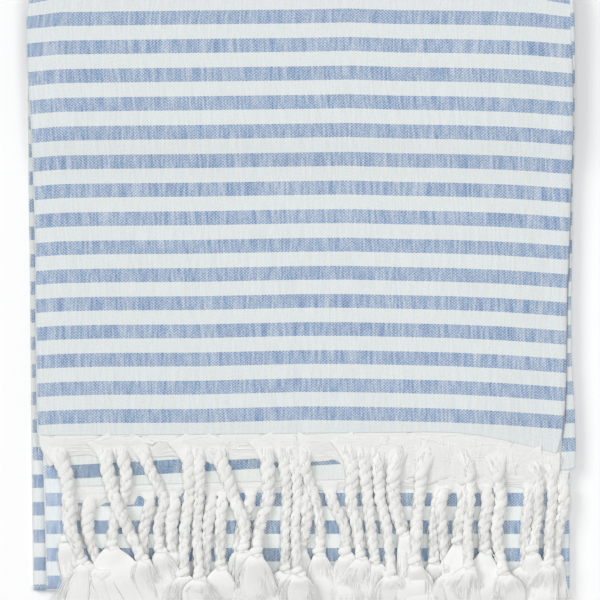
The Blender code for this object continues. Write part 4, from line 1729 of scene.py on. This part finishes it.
    def knot_tubes(self, bundle: YarnBundle, laid: LaidCord, random: np.random.RandomState) -> None:
        """Wrap the knot: the cord's end passes round it and under itself.

        Args:
            bundle: where the tubes are collected.
            laid: the cord's laid path.
            random: the source of its unevenness.
        """
        x, y, z = laid.x, laid.y, laid.z
        back = int(self.knot_half / self.ring_step)
        heading = np.array([x[-1] - x[-back * 2], y[-1] - y[-back * 2]])
        heading /= np.linalg.norm(heading)
        across = np.array([-heading[1], heading[0]])
        middle = np.array([x[-back], y[-back]])
        tilt = random.uniform(-0.9, 0.9)
        turns = np.linspace(0.0, 1.0, self.knot_points)
        for wrap in self.knot_wraps:
            radius, orbit = random.uniform(1.45, 1.95), random.uniform(1.5, 1.9)
            angle = wrap.begin + tilt + turns * 2 * math.pi * wrap.laps
            along = (turns - 0.5) * random.uniform(3.8, 6.2) + wrap.shift
            spot = middle[None] + heading[None] * along[:, None] + across[None] * (
                np.cos(angle) * orbit + tilt * 0.6)[:, None]
            path = np.concatenate([spot, (z[-back] + np.sin(angle) * orbit)[:, None]], axis=1)
            taper = radius * (0.55 + 0.45 * np.minimum(1.0, np.minimum(turns, 1.0 - turns) * 7.0))
            bundle.add(path[None], taper[None], self.knot_sides, random.uniform(0.4, 1.0, 1),
                       (np.full(len(turns), z[-back]), self.flatness))

    def web_level(self, x: Any, share: Any) -> Any:
        """Level of the heading's upper face, from the cloth's end down to its lower edge.

        Args:
            x: places across the towel, in mm.
            share: how far down the heading, from 0 to 1.

        Returns:
            The level at each place, in mm.
        """
        start = self.surface(x)
        fall = smooth_step(share, 0.10, 1.0)
        depth = self.heading_depth(x)
        beyond = top_end(x, True) - top_end(x, False) + depth * share
        rest = self.rest - self.droop * smooth_step(beyond, -0.5, 4.0)
        return (start + 0.04) * (1 - fall) + rest * fall + 0.22 * np.sin(math.pi * np.clip(share, 0.0, 1.0))

    def heading_skin(self, bundle: YarnBundle) -> None:
        """Make the unwoven heading: a soft scalloped skin of loose yarn behind the gathers.

        Args:
            bundle: where the skin is kept.
        """
        roots = np.array(sorted(strand.root for strand in self.strands))
        xs = np.arange(self.left, self.right + 0.01, self.skin_step)
        nearest = roots[np.argmin(np.abs(xs[:, None] - roots[None]), axis=1)]
        away = np.abs(xs - nearest)
        noise = value_noise(np.stack([xs / 5.0, np.full_like(xs, self.seed)], -1), self.seed)
        depth = self.heading_depth(xs) * (1.0 + 0.06 * noise) + self.skin_hang * bell(away, 4.0)
        share = np.linspace(-0.10, 1.0, self.skin_rows)[:, None]
        edge = top_end(xs, self.inner)[None]
        y = edge - depth[None] * share
        pull = (nearest - xs)[None] * 0.30 * np.square(np.clip(share, 0.0, 1.0)) * bell(away, 9.0)[None]
        x = xs[None] + pull
        z = self.web_level(x, share) - 0.75 * smooth_step(share, 0.03, -0.08)
        for place in self.notches:
            z = z - self.notch_depth * bell(x - place, 1.0) * bell((edge - y - 0.7), 0.8)
        thread = 0.06 * np.sin(y * 4.2 + 0.9 * np.sin(x / 7.0)) + 0.03 * np.sin(x * 6.0)
        swell = 0.16 * value_noise(np.stack([x / 6.0, y / 3.0], -1), self.seed + 2)
        folds = 0.16 * value_noise(np.stack([x / 1.3, y / 9.0], -1), self.seed + 4)
        folds = folds * smooth_step(edge - y, 5.0, 11.0)
        z = z + (thread + swell + folds) * smooth_step(share, 0.0, 0.2)
        grid = np.stack([x, y, z], -1)
        bundle.add_surface(grid, np.stack([y, x], -1), self.skin_tone, np.full(x.shape, self.skin_light))

    def heading_depth(self, x: Any) -> Any:
        """Depth of the heading at x, in mm."""
        return read_column(self.depths, "x", "depth", x)

    def gather_span(self, root: float) -> float:
        """Length of the gather above a cord, longer where the heading is deeper."""
        return self.gather_length * (0.55 + 0.05 * float(self.heading_depth(root)))

    def gathers(self, bundle: YarnBundle, random: np.random.RandomState) -> None:
        """Draw the heading's warp ends together into the top of each cord, with a few loose ends.

        Args:
            bundle: where the tubes are collected.
            random: the source of its unevenness.
        """
        order = sorted(self.laid, key=lambda laid: laid.x[0])
        roots = [float(laid.x[0]) for laid in order]
        for spot, laid in enumerate(order):
            root = roots[spot]
            before = (roots[spot - 1] + root) / 2 if spot else self.left
            after = (root + roots[spot + 1]) / 2 if spot + 1 < len(roots) else self.right
            low = max(before, root - self.gather_reach)
            high = min(after, root + self.gather_reach)
            edge = float(top_end(root, self.inner))
            deep = float(self.heading_depth(root)) + self.skin_hang
            half = float(laid.half[0])
            part = np.linspace(0.0, 1.0, self.gather_points)
            open_share = (1.0 - part) ** 2.0
            y = edge - 1.2 - (self.gather_span(root) - 1.2) * part
            x = np.interp(-y, -laid.y, laid.x) + ((low + high) / 2 - root) * open_share
            y = y + (top_end(x, self.inner) - edge) * open_share
            cord_z = np.interp(-y, -laid.y, laid.z)
            joined = smooth_step(part, 0.0, 0.9)
            wide = half * 1.12 + ((high - low) / 2 - half * 1.12) * open_share
            narrowing = 1.0 - 0.40 * smooth_step(part, 0.7, 1.0)
            wide = wide * narrowing
            thick = self.gather_least + (half * self.flatness * 1.06 - self.gather_least) * joined ** 1.3
            thick = thick * narrowing
            web_z = self.web_level(x, (edge - y) / deep)
            z = (web_z - 0.10) * (1 - joined) + cord_z * joined
            bundle.add_combed(np.stack([x, y, z], -1), wide, thick, self.gather_sides, self.grooves,
                              self.gather_depth, random.uniform(0.3, 0.6), random, self.gather_light)
            count = self.gather_ends
            share = np.linspace(0.0, 1.0, self.gather_end_points)[None]
            spread = random.uniform(-1.0, 1.0, (count, 1)) * (1.0 + 0.35 * (1.0 - share))
            place = random.uniform(0.1, 0.3, (count, 1)) + share * random.uniform(0.4, 0.7, (count, 1))
            px = np.interp(place, part, x) + spread * np.interp(place, part, wide)
            crown = np.clip(1.0 - np.square(spread), 0.0, 1.0) ** 0.7
            pz = np.interp(place, part, z) + crown * np.interp(place, part, thick)
            pz = pz - 0.25 * np.square(2.0 * share - 1.0)
            yarns = np.stack([px, np.interp(place, part, y), pz], -1)
            radii = random.uniform(0.10, 0.18, (count, 1)) + np.zeros((1, self.gather_end_points))
            bundle.add(yarns, radii, 4, random.uniform(0.3, 0.9, count))

    def loose_picks(self, bundle: YarnBundle, random: np.random.RandomState) -> None:
        """Lay a few loose picks across the heading.

        Args:
            bundle: where the tubes are collected.
            random: the source of its unevenness.
        """
        picks = int((self.right - self.left) / self.pick_step)
        share = np.linspace(0.0, 1.0, self.pick_points)
        for number in range(picks):
            start = self.left + 1.0 + number * self.pick_step * random.uniform(0.9, 1.02)
            length = random.uniform(10.0, 26.0)
            x = np.clip(start + length * share, self.left, self.right)
            limit = self.heading_depth(x)
            depth = random.uniform(0.4, 0.85 * float(limit.min()))
            sag = random.uniform(0.1, 1.2) * np.sin(math.pi * share)
            fall = random.uniform(-0.3, 0.3) * min(float(limit.min()), length) * share
            depth = np.clip(depth + sag + fall, 0.3, 0.92 * limit)
            y = top_end(x, self.inner) - depth
            z = self.web_level(x, depth / limit) + 0.05
            end = 0.5 * np.square(2.0 * share - 1.0) ** 3
            path = np.stack([x, y, z + 0.08 * np.sin(share * 9.0 + number) - end], -1)
            radii = np.full((1, self.pick_points), random.uniform(0.16, 0.26))
            bundle.add(path[None], radii, 4, random.uniform(0.4, 0.9, 1))

    def loose_warps(self, bundle: YarnBundle, random: np.random.RandomState) -> None:
        """Let loose warp ends hang over the heading, most of them where it is deep.

        Args:
            bundle: where the tubes are collected.
            random: the source of its unevenness.
        """
        share = np.linspace(0.0, 1.0, self.warp_points)
        for start in np.arange(self.left + 1.0, self.right - 1.0, self.warp_step):
            deep = float(self.heading_depth(start))
            if random.uniform(8.0, 20.0) > deep:
                continue
            begin, reach = random.uniform(0.5, 0.45 * deep), random.uniform(0.35, 0.70) * deep
            depth = begin + np.minimum(reach, 1.06 * deep - begin) * share
            wave = random.uniform(-0.6, 0.6) * np.sin(share * random.uniform(2.0, 7.0))
            x = np.clip(start + random.uniform(-8.0, 8.0) * share + wave, self.left, self.right)
            rise = 0.05 - 0.55 * np.square(2.0 * share - 1.0) ** 3
            level = self.web_level(x, depth / deep)
            path = np.stack([x, top_end(x, self.inner) - depth, level + rise], -1)
            radii = random.uniform(0.12, 0.30) * np.ones((1, self.warp_points))
            bundle.add(path[None], radii, 5, random.uniform(0.3, 0.9, 1))

    def build(self, finish: bpy.types.Material, loose: bpy.types.Material) -> list[bpy.types.Object]:
        """Make the row's three pieces: cords, heading and brushes.

        Args:
            finish: material of the twisted cords.
            loose: material of the loose yarns.

        Returns:
            The pieces, cords first.
        """
        cords, heading, brushes = YarnBundle(), YarnBundle(), YarnBundle()
        random = np.random.RandomState(self.seed)
        for laid in self.laid:
            self.cord_tubes(cords, laid, random)
        for brush in self.brushes:
            for lobe in brush.lobes:
                brushes.add_combed(lobe, brush.wide * random.uniform(0.85, 1.1), brush.high, self.lobe_sides,
                                   self.grooves, self.lobe_depth, random.uniform(0.6, 0.9), random,
                                   self.lobe_light)
            yarns = brush.yarns
            radii = random.uniform(0.13, 0.24, (len(yarns), 1)) * np.linspace(1.0, 0.6, yarns.shape[1])[None]
            brushes.add(yarns, radii, 4, random.uniform(0.5, 0.9, len(yarns)))
        self.heading_skin(heading)
        self.gathers(heading, random)
        self.loose_picks(heading, random)
        self.loose_warps(heading, random)
        return [cords.build(self.name + "_cords", finish), heading.build(self.name + "_heading", loose),
                brushes.build(self.name + "_brushes", loose)]


@dataclass
class TuckedRow:
    """A row of cords at the tucked end, pressed flat inside the fold."""

    name: str
    end_y: float
    level: float
    rest: float
    seed: int
    count: int = 15
    first: float = -109.0
    span: float = 221.0
    tips_y: float = 137.0
    cord_half: float = 1.9
    flatness: float = 0.55
    twist_pitch: float = 5.7
    depth: float = 4.4
    heading: Span = (-116.0, 118.01)
    heading_step: float = 2.0
    knot_share: float = 0.68
    cord_step: float = 1.1
    cord_sides: int = 6
    yarns: int = 36
    yarn_points: int = 5
    yarn_radius: float = 0.22
    yarn_sides: int = 3

    def build(self, finish: bpy.types.Material) -> bpy.types.Object:
        """Make the row as one piece: heading, cords, knots and brushes.

        Args:
            finish: the cotton's material.

        Returns:
            The piece.
        """
        bundle = YarnBundle()
        random = np.random.RandomState(self.seed)
        xs = np.arange(*self.heading, self.heading_step)
        share = np.linspace(1.0, 0.0, 3)[:, None]
        y = self.end_y + 0.2 + self.depth * share + 0.0 * xs[None]
        z = np.full_like(y, self.level + 0.15) - 0.3 * share
        x = np.broadcast_to(xs[None], y.shape)
        bundle.add_surface(np.stack([x, y, z], -1), np.stack([y, x], -1), 0.5, np.ones_like(y))
        knot_y = self.end_y + (self.tips_y - self.end_y) * self.knot_share
        for number in range(self.count):
            place = self.first + self.span * number / (self.count - 1)
            sway = random.uniform(-1.5, 1.5)
            y = np.arange(self.end_y + 2.0, knot_y + 2.5, self.cord_step)
            part = (y - y[0]) / (y[-1] - y[0])
            x = place + sway * np.sin(part * math.pi)
            rise = self.rest + self.cord_half * self.flatness - self.level
            centre_z = self.level + rise * smooth_step(part, 0.1, 0.5)
            paths, radii = [], []
            for ply in range(2):
                angle = math.pi * ply + 2 * math.pi * y / self.twist_pitch
                orbit = self.cord_half * 0.44
                paths.append(np.stack([x + np.cos(angle) * orbit, y, centre_z + np.sin(angle) * orbit], -1))
                radii.append(np.full(len(y), self.cord_half * 0.56) * (1 + 0.45 * bell(y - knot_y, 2.0)))
            bundle.add(np.stack(paths), np.stack(radii), self.cord_sides, random.uniform(0.3, 0.9, 2),
                       (centre_z, self.flatness))
            each = (self.yarns, 1)
            spread = random.uniform(-1.0, 1.0, each)
            along = np.linspace(0.0, 1.0, self.yarn_points)[None]
            px = x[-1] + spread * (1.0 + 2.6 * along) + random.uniform(-0.4, 0.4, each) * along
            py = y[-1] - 0.5 + (self.tips_y - y[-1]) * random.uniform(0.9, 1.02, each) * along
            pz = self.rest + 0.3 + random.uniform(0.0, 1.2, each) * (1.1 - 0.5 * along)
            bundle.add(np.stack([px, py, pz], -1), np.full(px.shape, self.yarn_radius), self.yarn_sides,
                       random.uniform(0.0, 1.0, self.yarns))
        return bundle.build(self.name, finish)


# ---------------------------------------------------------------------------------------------
# Studio
# ---------------------------------------------------------------------------------------------

@dataclass
class Studio:
    """Pale floor, soft light from the upper left and a camera straight above."""

    floor_size: float = 6.0
    view_width: float = 0.2778
    view_level: float = 0.009
    view_x: float = 0.0002
    view_y: float = -0.0028
    lens: float = 200.0
    sensor: float = 36.0
    sky: float = 0.425
    key_power: float = 82.0
    key_size: float = 2.0
    key_place: tuple[float, float, float] = (-2.80, 1.50, 3.15)
    overhead_power: float = 3.95
    overhead_size: float = 0.55
    overhead_place: tuple[float, float, float] = (0.15, 0.0, 1.00)

    def build(self) -> None:
        """Set up the floor, the lights, the sky and the camera."""
        bpy.ops.object.select_all(action="DESELECT")
        bpy.ops.mesh.primitive_plane_add(size=self.floor_size, location=(0.0, 0.0, 0.0))
        floor = bpy.context.object
        floor.name = "floor"
        floor.data.materials.append(PaleFloor().build())

        scene = bpy.context.scene
        scene.view_settings.view_transform = "Standard"
        world = bpy.data.worlds.new("soft_sky")
        world.use_nodes = True
        sky = world.node_tree.nodes["Background"]
        sky.inputs["Color"].default_value = (1.0, 1.0, 1.0, 1.0)
        sky.inputs["Strength"].default_value = self.sky
        scene.world = world

        self.add_softbox("key_light", self.key_place, self.key_size, self.key_power)
        self.add_softbox("overhead_light", self.overhead_place, self.overhead_size, self.overhead_power)

        distance = self.view_width * self.lens / self.sensor
        bpy.ops.object.camera_add(location=(self.view_x, self.view_y, self.view_level + distance),
                                  rotation=(0.0, 0.0, 0.0))
        camera = bpy.context.object
        camera.name = "top_camera"
        camera.data.lens = self.lens
        camera.data.sensor_width = self.sensor
        camera.data.clip_end = 20.0
        scene.camera = camera

    def add_softbox(self, name: str, place: tuple[float, float, float], size: float, power: float) -> None:
        """Add a square light that faces the towel.

        Args:
            name: the light's name.
            place: where it hangs, in m.
            size: the length of its side, in m.
            power: its power, in W.
        """
        bpy.ops.object.light_add(type="AREA", location=place)
        light = bpy.context.object
        light.name = name
        light.data.size = size
        light.data.energy = power
        light.rotation_euler = (-light.location).to_track_quat("-Z", "Y").to_euler()


# ---------------------------------------------------------------------------------------------
# Making it
# ---------------------------------------------------------------------------------------------

def mount(piece: bpy.types.Object, slot: str, *nodes: str) -> None:
    """Let a piece ride on the towel's body and hide the solids that it stands for.

    Args:
        piece: the piece.
        slot: not used.
        *nodes: the solids that it takes the place of.
    """
    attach(piece, "root")
    if nodes:
        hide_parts(*nodes)
    log.info("%s: %d faces", piece.name, len(piece.data.polygons))


def main() -> None:
    """Build the towel's pieces in order."""
    logging.basicConfig(level=logging.INFO, format="%(name)s: %(message)s")
    Studio().build()
    cord_cotton = TwistedCotton().build()
    loose_cotton = TwistedCotton(name="loose_cotton_yarn", bright=(0.890, 0.896, 0.884, 1.0),
                                 dull=(0.840, 0.846, 0.832, 1.0), fibre_scale=1.8).build()

    towel = TowelSheet()
    sheet = towel.build(WovenCotton().build())
    mount(sheet, "woven_cotton", "towel_cloth")

    ground = Ground()
    ground.spread_cloth()
    lower = FringeRow("lower_fringe", LOWER_STRANDS, inner=True, left=-109.0, right=125.0,
                      depths=LOWER_DEPTHS, seed=21, surface=lambda x: towel.end_surface(x, True),
                      rest=5.72, gather_reach=4.6, gather_length=10.0)
    upper = FringeRow("upper_fringe", UPPER_STRANDS, inner=False, left=-121.0, right=121.2,
                      depths=UPPER_DEPTHS, seed=22, surface=lambda x: towel.end_surface(x, False),
                      rest=7.22, droop=1.2, notches=(-114.6, -92.4, -74.0, -55.5, -37.7, -17.4, 50.7))
    for row, node in ((lower, "fringe_lower"), (upper, "fringe_upper")):
        row.lay(ground)
        for piece in row.build(cord_cotton, loose_cotton):
            mount(piece, "twisted_cotton", node)
    tucked_lower = TuckedRow("tucked_fringe_lower", end_y=71.0, level=3.5, rest=2.6, seed=31)
    tucked_upper = TuckedRow("tucked_fringe_upper", end_y=74.0, level=5.0, rest=4.6, seed=32)
    for row, node in ((tucked_lower, "fringe_inner_lower"), (tucked_upper, "fringe_inner_upper")):
        piece = row.build(cord_cotton)
        mount(piece, "twisted_cotton", node)

    bpy.context.view_layer.update()


if __name__ == "__main__":
    main()
